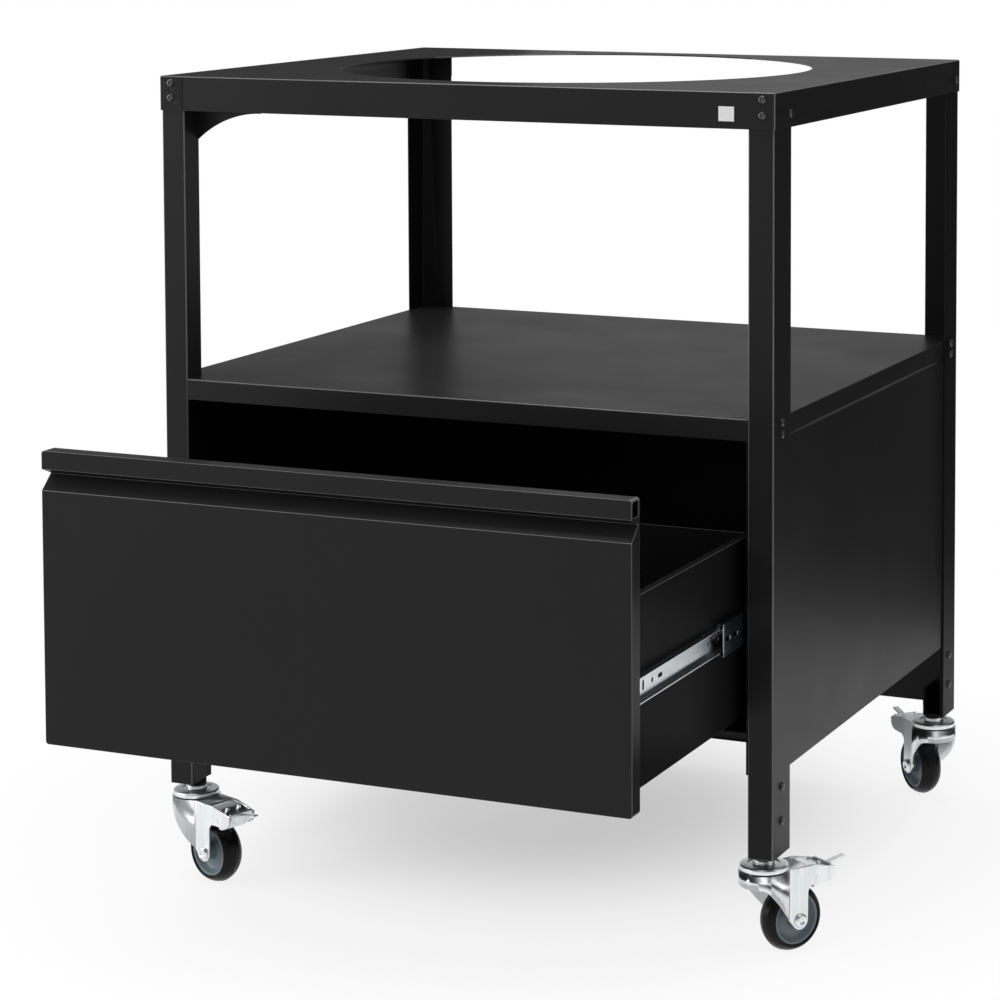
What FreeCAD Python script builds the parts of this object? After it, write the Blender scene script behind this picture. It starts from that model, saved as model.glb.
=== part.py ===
"""Kamado grill table: a folded sheet table with a round cut-out, one drawer and four braked castors.

Millimetres. The origin is on the floor under the middle of the table. +X is to the right, +Y to the
back and +Z up. The drawer is drawn pulled out.
"""
import FreeCAD, Part
import Sketcher
import math
import os

from FreeCAD import Placement, Rotation, Vector

os.makedirs("parts", exist_ok=True)
doc = FreeCAD.newDocument("GrillTable")
sheet = doc.addObject("Spreadsheet::Sheet", "Sizes")
nodes = []


class Size:
    """A length or angle with the sheet expression that it comes from."""

    def __init__(self, value, text):
        self.value = float(value)
        self.text = text

    def __add__(self, other):
        other = as_size(other)
        return Size(self.value + other.value, "(%s + %s)" % (self.text, other.text))

    def __sub__(self, other):
        other = as_size(other)
        return Size(self.value - other.value, "(%s - %s)" % (self.text, other.text))

    def __mul__(self, other):
        other = as_size(other)
        return Size(self.value * other.value, "(%s * %s)" % (self.text, other.text))

    def __truediv__(self, other):
        other = as_size(other)
        return Size(self.value / other.value, "(%s / %s)" % (self.text, other.text))

    def __radd__(self, other):
        return as_size(other) + self

    def __rsub__(self, other):
        return as_size(other) - self

    def __rmul__(self, other):
        return as_size(other) * self

    def __neg__(self):
        return self * -1


def as_size(amount):
    if isinstance(amount, Size):
        return amount
    return Size(amount, repr(float(amount)))


def root(amount):
    return Size(math.sqrt(amount.value), "sqrt(%s)" % amount.text)


def cosine(angle):
    return Size(math.cos(math.radians(angle.value)), "cos(%s * 1 deg)" % angle.text)


def sine(angle):
    return Size(math.sin(math.radians(angle.value)), "sin(%s * 1 deg)" % angle.text)


def cell(name, value, meaning):
    """Write one driving dimension into the sheet."""
    cell.row += 1
    sheet.set("A%d" % cell.row, name)
    sheet.set("B%d" % cell.row, str(value))
    sheet.set("C%d" % cell.row, meaning)
    sheet.setAlias("B%d" % cell.row, name)
    return Size(value, "Sizes." + name)


cell.row = 0

# Frame
table_width = cell("table_width", 760, "over the outer faces of the posts")
table_depth = cell("table_depth", 655, "over the outer faces of the posts")
table_height = cell("table_height", 950, "floor to the top face")
top_sheet = cell("top_sheet", 1.5, "sheet of the top")
skirt_drop = cell("skirt_drop", 40, "height of the top's skirt")
rear_lip = cell("rear_lip", 4, "height of the fold along the rear edge, between the posts")
rear_tab = cell("rear_tab", 42, "width of the skirt's tab on a rear post")
tab_round = cell("tab_round", 3.5, "radius at the lower corners of the skirt's ends")
cutout_radius = cell("cutout_radius", 285, "round cut-out for the grill")
top_fold = cell("top_fold", 2, "outer radius of the top's folds")
seam_from_corner = cell("seam_from_corner", 29, "corner to the seam in the skirt")
seam_gap = cell("seam_gap", 0.8, "width of that seam")
post_sheet = cell("post_sheet", 2, "sheet of the posts")
post_fold = cell("post_fold", 2.5, "outer radius of the posts' folds")
front_flange = cell("front_flange", 30, "width of a front post seen from the front")
return_depth = cell("return_depth", 31, "inner return of a front post")
side_flange = cell("side_flange", 52, "depth of a front post seen from the side")
rear_flange = cell("rear_flange", 42, "width of a rear post seen from the back")
rear_side_flange = cell("rear_side_flange", 48, "depth of a rear post seen from the side")
foot_height = cell("foot_height", 115, "floor to the lower end of the posts")
gusset_reach = cell("gusset_reach", 113, "post face to the end of the gusset's arc")
gusset_drop = cell("gusset_drop", 43.5, "top face to the crown of the gusset's arc")
gusset_radius = cell("gusset_radius", 126, "concave edge of the gusset")

# Shelf and cabinet
shelf_level = cell("shelf_level", 597, "floor to the shelf's upper face")
shelf_lip = cell("shelf_lip", 24, "height of the shelf's folded edges")
shelf_sheet = cell("shelf_sheet", 1.5, "sheet of the shelf")
panel_sheet = cell("panel_sheet", 1.2, "sheet of the cabinet panels")
inner_sheet = cell("inner_sheet", 1.5, "sheet of the inner panels")
side_panel_bottom = cell("side_panel_bottom", 206, "floor to the lower edge of the side panels")
back_panel_bottom = cell("back_panel_bottom", 122, "floor to the lower edge of the back panel")
floor_lip_bottom = cell("floor_lip_bottom", 235, "floor to the lower edge of the cabinet floor")
floor_lip = cell("floor_lip", 9, "height of the cabinet floor's front fold")
floor_setback = cell("floor_setback", 27, "front face to the front edge of the cabinet floor")
floor_flange = cell("floor_flange", 14, "height of the cabinet floor's side folds")
fit = cell("fit", 0.3, "clearance between sheets that slide together when assembled")
badge_width = cell("badge_width", 18, "blank plate on the skirt")
badge_height = cell("badge_height", 16, "blank plate on the skirt")
badge_sheet = cell("badge_sheet", 1, "blank plate on the skirt")
badge_from_right = cell("badge_from_right", 54, "right corner to the middle of the blank plate")

# Drawer
drawer_out = cell("drawer_out", 300, "how far the drawer is drawn pulled out")
drawer_side_gap = cell("drawer_side_gap", 3.5, "gap beside the drawer front")
drawer_bottom_level = cell("drawer_bottom_level", 246, "floor to the lower edge of the drawer front")
drawer_front_height = cell("drawer_front_height", 320, "drawer front")
drawer_front_depth = cell("drawer_front_depth", 20, "drawer front")
drawer_front_sheet = cell("drawer_front_sheet", 1.5, "drawer front")
pull_bar = cell("pull_bar", 20, "height of the bar over the finger groove")
groove_height = cell("groove_height", 23, "mouth of the finger groove")
groove_depth = cell("groove_depth", 17, "front face to the bottom of the finger groove")
groove_rise = cell("groove_rise", 7, "how far the bar's underside drops inwards")
groove_fold = cell("groove_fold", 4, "height of the fold at the bottom of the groove")
liner_sheet = cell("liner_sheet", 1, "inner skin of the drawer front")
box_sheet = cell("box_sheet", 1.2, "drawer sides, back and bottom")
box_above_front = cell("box_above_front", 19, "drawer front's lower edge to the box's underside")
box_height = cell("box_height", 197, "drawer sides")
box_length = cell("box_length", 335, "drawer sides")
box_hem = cell("box_hem", 8, "fold along the top of a drawer side")
box_foot = cell("box_foot", 12, "fold along the bottom of a drawer side")

# Ball bearing slides
slide_level = cell("slide_level", 369, "floor to the slides' centre line")
slide_length = cell("slide_length", 350, "each member")
slide_thickness = cell("slide_thickness", 12.7, "three members nested")
slide_sheet = cell("slide_sheet", 1.2, "sheet of the members")
slide_setback = cell("slide_setback", 21, "front face to the cabinet member")
cabinet_member_height = cell("cabinet_member_height", 45.7, "outer member")
middle_member_height = cell("middle_member_height", 35.3, "middle member")
drawer_member_height = cell("drawer_member_height", 26.8, "inner member")
member_gap = cell("member_gap", 0.6, "between the webs of the members")
cabinet_member_depth = cell("cabinet_member_depth", 10.5, "outer member")
middle_member_depth = cell("middle_member_depth", 8, "middle member")
drawer_member_depth = cell("drawer_member_depth", 8, "inner member")
middle_out = cell("middle_out", 81, "how far the middle members are drawn pulled out")
ball_play = cell("ball_play", 0.05, "running clearance of the ball strips")
ball_strip_width = cell("ball_strip_width", 4, "ball strips, across the slide")
outer_strip_length = cell("outer_strip_length", 200, "balls between outer and middle member")
inner_strip_length = cell("inner_strip_length", 95, "balls between middle and inner member")

# Screws
screw_radius = cell("screw_radius", 2.4, "shank")
screw_hole = cell("screw_hole", 2.5, "hole radius")
screw_head_radius = cell("screw_head_radius", 4.8, "pan head")
screw_crown_radius = cell("screw_crown_radius", 3.2, "flat crown of the pan head")
screw_head_height = cell("screw_head_height", 2.6, "pan head")
screw_length = cell("screw_length", 8, "under the head")
top_screw_inset = cell("top_screw_inset", 13, "corner to the screws in the front and back skirt")
top_screw_upper = cell("top_screw_upper", 8, "top face to the upper screw")
top_screw_lower = cell("top_screw_lower", 25, "top face to the lower screw")
side_screw_front = cell("side_screw_front", 46, "front corner to the screw in the side skirt")
side_screw_rear = cell("side_screw_rear", 12, "rear corner to the screw in the side skirt")
post_screw_inset = cell("post_screw_inset", 26, "post corner to the screws in its side")
shelf_screw_upper = cell("shelf_screw_upper", 5, "shelf face to the upper screw")
shelf_screw_lower = cell("shelf_screw_lower", 18, "shelf face to the lower screw")
foot_screw_lower = cell("foot_screw_lower", 38, "lower end of the post to the lower screw")
foot_screw_upper = cell("foot_screw_upper", 76, "lower end of the post to the upper screw")

# Castors
wheel_radius = cell("wheel_radius", 37.5, "tyre")
tyre_width = cell("tyre_width", 27, "tyre")
tyre_crown = cell("tyre_crown", 7, "how much higher the tyre is in its middle")
rim_radius = cell("rim_radius", 28.5, "hub under the tyre")
rim_width = cell("rim_width", 24, "hub under the tyre")
trail = cell("trail", 36, "swivel axis to the wheel axle, level")
axle_radius = cell("axle_radius", 5, "wheel axle")
running_gap = cell("running_gap", 0.05, "radial clearance of what turns")
seat_gap = cell("seat_gap", 0.3, "clearance of faces that turn past each other")
fork_sheet = cell("fork_sheet", 2.5, "sheet of the fork")
fork_top = cell("fork_top", 97, "floor to the fork's top face")
fork_race_radius = cell("fork_race_radius", 28, "round head of the fork")
fork_half_width = cell("fork_half_width", 19, "middle to the outer face of a fork leg")
fork_reach = cell("fork_reach", 84, "swivel axis to the end of the fork's arms")
fork_boss_radius = cell("fork_boss_radius", 10, "fork leg round the axle")
fork_band = cell("fork_band", 15.5, "height of the fork's round head")
fork_arm = cell("fork_arm", 22.5, "height of the fork's arms at their root")
fork_arm_end = cell("fork_arm_end", 15, "height of the fork's arms at their end")
stem_radius = cell("stem_radius", 6, "swivel stem")
stem_inset_x = cell("stem_inset_x", 20, "post's outer face to the stem")
stem_inset_y = cell("stem_inset_y", 25, "post's front or back face to the stem")
stem_above_foot = cell("stem_above_foot", 24, "stem inside the post")
collar_radius = cell("collar_radius", 12, "collar under the post")
race_cap_radius = cell("race_cap_radius", 27, "upper race")
race_cap_height = cell("race_cap_height", 7.5, "upper race")
pedal_pivot_reach = cell("pedal_pivot_reach", 60, "swivel axis to the pedal's pin")
pedal_pivot_level = cell("pedal_pivot_level", 80, "floor to the pedal's pin")
pedal_pin_radius = cell("pedal_pin_radius", 3, "pedal's pin")
pedal_tip = cell("pedal_tip", 110, "swivel axis to the tip of the pedal")
pedal_half_width = cell("pedal_half_width", 15.8, "pedal between the fork's arms")
tongue_width = cell("tongue_width", 15, "raised tongue of the pedal")
lobe_rise = cell("lobe_rise", 6, "how far the pedal's rolled front stands over the fork")
lobe_radius = cell("lobe_radius", 5, "pedal's rolled front")
bracket_sheet = cell("bracket_sheet", 3, "bracket in the foot of a post")
bracket_leg = cell("bracket_leg", 90, "bracket in the foot of a post")
bracket_return = cell("bracket_return", 34, "inner leg of the bracket")
bracket_width = cell("bracket_width", 25.5, "bracket in the foot of a post")
bracket_length = cell("bracket_length", 43, "bracket in the foot of a post")
nut_boss_radius = cell("nut_boss_radius", 7.4, "nut on the bracket")
nut_boss_height = cell("nut_boss_height", 10, "nut on the bracket")
front_left_heading = cell("front_left_heading", 340, "way the castor trails, from +X, turning left")
front_right_heading = cell("front_right_heading", 57, "way the castor trails, from +X, turning left")
rear_right_heading = cell("rear_right_heading", 135, "way the castor trails, from +X, turning left")
rear_left_heading = cell("rear_left_heading", 20, "way the castor trails, from +X, turning left")

doc.recompute()

ZERO = as_size(0)
half_width = table_width / 2
half_depth = table_depth / 2
skirt_bottom = table_height - skirt_drop
shelf_underside = shelf_level - shelf_lip


def bind(thing, path, amount):
    thing.setExpression(path, as_size(amount).text)


def place(thing, x=ZERO, y=ZERO, z=ZERO, turn=ZERO, axis=(0, 0, 1)):
    """Bind a placement: a point, and a turn in degrees about an axis."""
    texts = tuple(as_size(amount).text for amount in (x, y, z))
    texts += tuple("%d" % step for step in axis) + (as_size(turn).text,)
    thing.setExpression("Placement", "placement(vector(%s; %s; %s); rotation(vector(%s; %s; %s); %s))" % texts)


def body(label):
    part = doc.addObject("PartDesign::Body", "Body_" + label)
    part.Label = label
    return part


def sketch(part, role, lift=ZERO):
    """A sketch on one of the body's own planes, lifted along the plane's normal."""
    drawing = part.newObject("Sketcher::SketchObject", "Outline_" + part.Label)
    plane = [feature for feature in part.Origin.OriginFeatures if feature.Role == role][0]
    drawing.AttachmentSupport = [(plane, "")]
    drawing.MapMode = "FlatFace"
    bind(drawing, "AttachmentOffset.Base.z", lift)
    return drawing


def arc_through(start, end, radius, large):
    """A point half way along the arc; a positive radius turns left from start to end."""
    chord = end - start
    middle = (start + end) * 0.5
    left = Vector(-chord.y, chord.x, 0).normalize()
    side = 1 if radius > 0 else -1
    if large:
        side = -side
    reach = math.sqrt(max(radius * radius - chord.Length * chord.Length / 4, 0))
    centre = middle + left * (reach * side)
    away = left * (-1 if radius > 0 else 1)
    return centre + away * abs(radius)


def outline(drawing, points):
    """Draw one closed outline.

    A point is (x, y) for a straight run to it, or (x, y, radius) for an arc to it: a positive
    radius turns left, a negative one right. A fourth entry asks for the longer of the two arcs.
    """
    points = [tuple(as_size(amount) for amount in point[:3]) + tuple(point[3:]) for point in points]
    spots = [Vector(point[0].value, point[1].value, 0) for point in points]
    count = len(points)
    first = drawing.GeometryCount
    ends = []
    for index in range(count):
        start = spots[index]
        end = spots[(index + 1) % count]
        target = points[(index + 1) % count]
        if len(target) == 2:
            drawing.addGeometry(Part.LineSegment(start, end), False)
            ends.append((1, 2))
            continue
        middle = arc_through(start, end, target[2].value, len(target) > 3)
        drawing.addGeometry(Part.Arc(start, middle, end), False)
        begins = drawing.getPoint(first + index, 1)
        forward = (begins - start).Length < (begins - end).Length
        ends.append((1, 2) if forward else (2, 1))
    for index in range(count):
        follower = (index + 1) % count
        drawing.addConstraint(Sketcher.Constraint(
            "Coincident", first + index, ends[index][1], first + follower, ends[follower][0]))
    for index, point in enumerate(points):
        for kind, amount in (("DistanceX", point[0]), ("DistanceY", point[1])):
            number = drawing.addConstraint(Sketcher.Constraint(
                kind, -1, 1, first + index, ends[index][0], amount.value))
            bind(drawing, "Constraints[%d]" % number, amount)
        if len(point) > 2:
            bend = point[2] if point[2].value > 0 else -point[2]
            number = drawing.addConstraint(Sketcher.Constraint("Radius", first + (index - 1) % count, bend.value))
            bind(drawing, "Constraints[%d]" % number, bend)


def rectangle(drawing, left, front, right, back):
    outline(drawing, [(left, front), (right, front), (right, back), (left, back)])


def ring(drawing, x, y, radius):
    x, y, radius = as_size(x), as_size(y), as_size(radius)
    circle = Part.Circle(Vector(x.value, y.value, 0), Vector(0, 0, 1), radius.value)
    index = drawing.addGeometry(circle, False)
    for kind, amount in (("DistanceX", x), ("DistanceY", y)):
        number = drawing.addConstraint(Sketcher.Constraint(kind, -1, 1, index, 3, amount.value))
        bind(drawing, "Constraints[%d]" % number, amount)
    number = drawing.addConstraint(Sketcher.Constraint("Radius", index, radius.value))
    bind(drawing, "Constraints[%d]" % number, radius)


def pad(part, drawing, length, middle=False, back=False):
    feature = part.newObject("PartDesign::Pad", "Pad_" + part.Label)
    feature.Profile = drawing
    feature.Midplane = middle
    feature.Reversed = back
    bind(feature, "Length", length)
    part.Tip = feature
    return feature


def pocket(part, drawing, length, middle=False, back=False):
    """Cut, and make sure that the cut took something away."""
    doc.recompute()
    before = part.Shape.Volume
    feature = part.newObject("PartDesign::Pocket", "Pocket_" + part.Label)
    feature.Profile = drawing
    feature.Midplane = middle
    feature.Reversed = back
    bind(feature, "Length", length)
    part.Tip = feature
    doc.recompute()
    if part.Shape.Volume >= before:
        raise ValueError("a pocket of %s cuts nothing" % part.Label)
    return feature


def revolve(part, drawing, axis):
    feature = part.newObject("PartDesign::Revolution", "Revolution_" + part.Label)
    feature.Profile = drawing
    feature.ReferenceAxis = (drawing, [axis])
    feature.Angle = 360
    part.Tip = feature
    return feature


def round_edges(part, radius, wanted):
    """Round each edge of the body whose middle and direction pass the test."""
    doc.recompute()
    names = []
    for number, edge in enumerate(part.Shape.Edges, 1):
        if edge.Degenerated or edge.Curve.TypeId != "Part::GeomLine":
            continue
        start, end = edge.Vertexes[0].Point, edge.Vertexes[-1].Point
        if wanted((start + end) * 0.5, (end - start).normalize(), edge.Length):
            names.append("Edge%d" % number)
    if not names:
        raise ValueError("no edge to round on %s" % part.Label)
    base = part.Tip
    feature = part.newObject("PartDesign::Fillet", "Fillet_" + part.Label)
    feature.Base = (base, names)
    bind(feature, "Radius", radius)
    part.Tip = feature
    doc.recompute()
    return feature


def keep(part):
    nodes.append(part)
    return part


def near(value, target):
    return abs(value - target) < 0.01


def make_top():
    """The folded top: one sheet with a round cut-out and a skirt on all four sides."""
    part = body("top_panel")
    outer = sketch(part, "XY_Plane")
    over_x = half_width + top_sheet
    over_y = half_depth + top_sheet
    rectangle(outer, -over_x, -over_y, over_x, over_y)
    pad(part, outer, skirt_drop)
    inside = sketch(part, "XY_Plane")
    rectangle(inside, -half_width, -half_depth, half_width, half_depth)
    pocket(part, inside, skirt_drop - top_sheet, back=True)
    round_edges(part, top_fold, lambda spot, way, length: (
        (near(abs(way.z), 1) and near(abs(spot.x), over_x.value) and near(abs(spot.y), over_y.value))
        or (near(spot.z, skirt_drop.value)
            and (near(abs(spot.x), over_x.value) or near(abs(spot.y), over_y.value)))))
    opening = sketch(part, "XY_Plane")
    ring(opening, 0, 0, cutout_radius)
    pocket(part, opening, skirt_drop + top_sheet, back=True)
    seams = sketch(part, "XY_Plane")
    seam_x = -half_width + seam_from_corner
    seam_y = half_depth - seam_from_corner
    rectangle(seams, seam_x, -over_y - top_sheet, seam_x + seam_gap, -half_depth)
    rectangle(seams, half_width, seam_y - seam_gap, over_x + top_sheet, seam_y)
    pocket(part, seams, skirt_drop - top_sheet, back=True)
    rear = sketch(part, "XY_Plane")
    tab_end = half_width - rear_tab
    rectangle(rear, -tab_end, half_depth, tab_end, over_y + top_sheet)
    pocket(part, rear, skirt_drop - rear_lip, back=True)
    round_edges(part, tab_round, lambda spot, way, length: near(spot.z, 0) and (
        (near(abs(way.y), 1) and spot.y > 0 and near(abs(spot.x), tab_end.value))
        or (near(abs(way.y), 1) and spot.y < 0 and near(spot.x, seam_x.value))
        or (near(abs(way.x), 1) and near(spot.y, seam_y.value))))
    faces = sketch(part, "XZ_Plane")
    for side in (-1, 1):
        for depth in (top_screw_upper, top_screw_lower):
            ring(faces, side * (half_width - top_screw_inset), skirt_drop - depth, screw_hole)
    pocket(part, faces, 2 * over_y + top_sheet, middle=True)
    ends = sketch(part, "YZ_Plane")
    for along in (side_screw_front - half_depth, half_depth - side_screw_rear):
        ring(ends, along, skirt_drop - top_screw_lower, screw_hole)
    pocket(part, ends, 2 * over_x + top_sheet, middle=True)
    place(part, z=skirt_bottom)
    return keep(part)


def make_post(label, side, end):
    """A post stands in a corner: side is -1 left or 1 right, end is -1 front or 1 rear."""
    part = body(label)
    flange = front_flange if end < 0 else rear_flange
    flank = side_flange if end < 0 else rear_side_flange

    def spot(inward_x, inward_y):
        return (-side * as_size(inward_x), -end * as_size(inward_y))

    section = sketch(part, "XY_Plane")
    corners = [spot(0, 0), spot(flange, 0)]
    if end < 0:
        corners += [spot(flange, return_depth), spot(flange - post_sheet, return_depth)]
        corners += [spot(flange - post_sheet, post_sheet)]
    else:
        corners += [spot(flange, post_sheet)]
    corners += [spot(post_sheet, post_sheet), spot(post_sheet, flank), spot(0, flank)]
    outline(section, corners)
    height = table_height - top_sheet - foot_height
    pad(part, section, height)
    round_edges(part, post_fold, lambda point, way, length: (
        near(abs(way.z), 1) and near(point.x, 0) and near(point.y, 0)))
    if end < 0:
        round_edges(part, post_fold, lambda point, way, length: (
            near(abs(way.z), 1) and near(abs(point.x), flange.value) and near(point.y, 0)))
    face = sketch(part, "XZ_Plane")
    for depth in (top_screw_upper, top_screw_lower):
        ring(face, -side * top_screw_inset, table_height - depth - foot_height, screw_hole)
    pocket(part, face, 2 * post_sheet + seat_gap, middle=True)
    flank_face = sketch(part, "YZ_Plane")
    top_hole = side_screw_front if end < 0 else side_screw_rear
    ring(flank_face, -end * top_hole, table_height - top_screw_lower - foot_height, screw_hole)
    for depth in (shelf_screw_upper, shelf_screw_lower):
        ring(flank_face, -end * post_screw_inset, shelf_level - depth - foot_height, screw_hole)
    for rise in (foot_screw_lower, foot_screw_upper):
        ring(flank_face, -end * post_screw_inset, rise, screw_hole)
    pocket(part, flank_face, 2 * post_sheet + seat_gap, middle=True)
    place(part, side * half_width, end * half_depth, foot_height)
    return keep(part)


def make_gusset():
    """The curved plate in the front left corner, behind the post's return."""
    part = body("corner_gusset")
    drawing = sketch(part, "XZ_Plane")
    inner = front_flange - post_sheet
    crown = -gusset_drop
    centre = crown - gusset_radius
    run = gusset_reach - inner
    foot = centre + root(gusset_radius * gusset_radius - run * run)
    outline(drawing, [
        (inner, -top_sheet), (inner, foot), (gusset_reach, crown, -gusset_radius),
        (gusset_reach, -top_sheet)])
    pad(part, drawing, post_sheet, back=True)
    place(part, -half_width, return_depth - half_depth, table_height)
    return keep(part)


def make_shelf():
    """The shelf is a tray turned over, notched round the front posts."""
    part = body("shelf")
    over_x = half_width - post_sheet
    front = fit - half_depth
    back = half_depth - post_sheet
    outer = sketch(part, "XY_Plane")
    rectangle(outer, -over_x, front, over_x, back)
    pad(part, outer, shelf_lip)
    inside = sketch(part, "XY_Plane")
    rectangle(inside, shelf_sheet - over_x, front + shelf_sheet, over_x - shelf_sheet, back - shelf_sheet)
    pocket(part, inside, shelf_lip - shelf_sheet, back=True)
    round_edges(part, top_fold, lambda spot, way, length: (
        near(spot.z, shelf_lip.value) and near(spot.y, front.value)))
    notches = sketch(part, "XY_Plane")
    for side in (-1, 1):
        edge = side * (half_width - front_flange - fit)
        beyond = side * half_width
        skirt = side * (over_x - shelf_sheet)
        before = front - top_sheet
        past_return = return_depth - half_depth + fit
        past_fold = post_sheet + post_fold - half_depth
        outline(notches, [
            (edge, before), (beyond, before), (beyond, past_fold), (skirt, past_fold),
            (skirt, past_return), (edge, past_return)])
    pocket(part, notches, shelf_lip + shelf_sheet, back=True)
    holes = sketch(part, "YZ_Plane")
    for end in (-1, 1):
        for depth in (shelf_screw_upper, shelf_screw_lower):
            ring(holes, end * (half_depth - post_screw_inset), shelf_lip - depth, screw_hole)
    pocket(part, holes, table_width, middle=True)
    place(part, z=shelf_underside)
    return keep(part)


def make_side_panel(label, side):
    """A flat side of the cabinet, with a fold turned in along its lower edge."""
    part = body(label)
    drawing = sketch(part, "XZ_Plane")
    height = shelf_underside - side_panel_bottom - fit
    fold = front_flange - post_sheet - 2 * inner_sheet

    def spot(inward, up):
        return (-side * as_size(inward), as_size(up))

    outline(drawing, [
        spot(0, 0), spot(fold, 0), spot(fold, panel_sheet), spot(panel_sheet, panel_sheet),
        spot(panel_sheet, height), spot(0, height)])
    front = return_depth + fit
    pad(part, drawing, table_depth - front - post_sheet - panel_sheet - fit, back=True)
    place(part, side * (half_width - post_sheet), front - half_depth, side_panel_bottom)
    return keep(part)


def make_inner_panel(label, side):
    """The inner wall that carries the slide, with a fold at the back that reaches the side panel."""
    part = body(label)
    drawing = sketch(part, "XY_Plane")
    length = table_depth - post_sheet - panel_sheet - 2 * fit
    fold = front_flange - post_sheet - panel_sheet - fit

    def spot(outward, along):
        return (side * as_size(outward), as_size(along))

    outline(drawing, [
        spot(0, 0), spot(-inner_sheet, 0), spot(-inner_sheet, length), spot(fold, length),
        spot(fold, length - inner_sheet), spot(0, length - inner_sheet)])
    pad(part, drawing, shelf_underside - side_panel_bottom - panel_sheet - fit)
    place(part, side * (half_width - front_flange), fit - half_depth, side_panel_bottom + panel_sheet)
    return keep(part)


def make_back_panel():
    part = body("back_panel")
    drawing = sketch(part, "XZ_Plane")
    over_x = half_width - post_sheet - fit
    rectangle(drawing, -over_x, 0, over_x, shelf_underside - back_panel_bottom - fit)
    pad(part, drawing, panel_sheet)
    place(part, y=half_depth - post_sheet, z=back_panel_bottom)
    return keep(part)


def make_cabinet_floor():
    """A tray with its front edge folded down and its sides folded up against the inner panels."""
    part = body("cabinet_floor")
    over_x = half_width - front_flange - inner_sheet
    length = table_depth - floor_setback - post_sheet - panel_sheet - fit
    drawing = sketch(part, "XZ_Plane")
    rise = floor_lip + floor_flange
    outline(drawing, [
        (-over_x, floor_lip), (over_x, floor_lip), (over_x, rise), (over_x - panel_sheet, rise),
        (over_x - panel_sheet, floor_lip + panel_sheet), (panel_sheet - over_x, floor_lip + panel_sheet),
        (panel_sheet - over_x, rise), (-over_x, rise)])
    pad(part, drawing, length, back=True)
    lip = sketch(part, "XZ_Plane")
    rectangle(lip, -over_x, 0, over_x, floor_lip)
    pad(part, lip, panel_sheet, back=True)
    place(part, y=floor_setback - half_depth, z=floor_lip_bottom)
    return keep(part)


def make_badge():
    part = body("badge_plate")
    drawing = sketch(part, "XZ_Plane")
    rectangle(drawing, -badge_width / 2, -badge_height / 2, badge_width / 2, badge_height / 2)
    pad(part, drawing, badge_sheet)
    level = table_height - (skirt_drop + badge_height / 2) / 2
    place(part, half_width - badge_from_right, -half_depth - top_sheet, level)
    return keep(part)


# Places of the drawer, from its own front face and lower edge
drawer_y = -half_depth - drawer_out
box_start = drawer_front_depth
box_half_width = half_width - front_flange - inner_sheet - slide_thickness
drawer_front_width = table_width - 2 * (front_flange + inner_sheet + drawer_side_gap)


def make_drawer_front():
    """A folded pan: flat face, slanted finger groove and a bar above it."""
    part = body("drawer_front")
    tall = drawer_front_height
    deep = drawer_front_depth
    wall = drawer_front_sheet
    bar = tall - pull_bar
    face = bar - groove_height
    apex = bar - groove_rise
    drawing = sketch(part, "YZ_Plane")
    outline(drawing, [
        (0, 0), (deep, 0), (deep, tall), (0, tall), (0, bar), (groove_depth, apex), (0, face)])
    pad(part, drawing, drawer_front_width, middle=True)
    hollow = sketch(part, "YZ_Plane")
    outline(hollow, [
        (wall, wall), (deep + wall, wall), (deep + wall, tall - wall), (wall, tall - wall),
        (wall, bar + wall), (groove_depth, apex + groove_fold / 2), (deep - liner_sheet, apex + groove_fold / 2),
        (deep - liner_sheet, apex - groove_fold / 2), (groove_depth, apex - groove_fold / 2),
        (wall, face - wall)])
    pocket(part, hollow, drawer_front_width - 2 * wall, middle=True)
    place(part, y=drawer_y, z=drawer_bottom_level)
    return keep(part)


def make_drawer_liner():
    part = body("drawer_liner")
    drawing = sketch(part, "XZ_Plane")
    margin = drawer_front_sheet + ball_play
    over_x = drawer_front_width / 2 - margin
    rectangle(drawing, -over_x, margin, over_x, drawer_front_height - margin)
    pad(part, drawing, liner_sheet)
    place(part, y=drawer_y + drawer_front_depth, z=drawer_bottom_level)
    return keep(part)


def make_drawer_side(label, side):
    part = body(label)
    drawing = sketch(part, "XZ_Plane")

    def spot(inward, up):
        return (-side * as_size(inward), as_size(up))

    outline(drawing, [
        spot(0, 0), spot(box_foot, 0), spot(box_foot, box_sheet), spot(box_sheet, box_sheet),
        spot(box_sheet, box_height - box_sheet), spot(box_hem, box_height - box_sheet),
        spot(box_hem, box_height), spot(0, box_height)])
    pad(part, drawing, box_length, back=True)
    place(part, side * box_half_width, drawer_y + box_start, drawer_bottom_level + box_above_front)
    return keep(part)


def make_drawer_bottom():
    part = body("drawer_bottom")
    drawing = sketch(part, "XY_Plane")
    over_x = box_half_width - box_sheet - ball_play
    rectangle(drawing, -over_x, 0, over_x, box_length)
    pad(part, drawing, box_sheet)
    place(part, y=drawer_y + box_start, z=drawer_bottom_level + box_above_front + box_sheet)
    return keep(part)


def make_drawer_back():
    part = body("drawer_back")
    drawing = sketch(part, "XZ_Plane")
    over_x = box_half_width - box_sheet - ball_play
    rectangle(drawing, -over_x, 2 * box_sheet, over_x, box_height - box_sheet)
    pad(part, drawing, box_sheet)
    place(part, y=drawer_y + box_start + box_length, z=drawer_bottom_level + box_above_front)
    return keep(part)


# Slide sections, measured inwards from the face of the inner panel
slide_face = half_width - front_flange - inner_sheet
slide_start = slide_setback - half_depth


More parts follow.
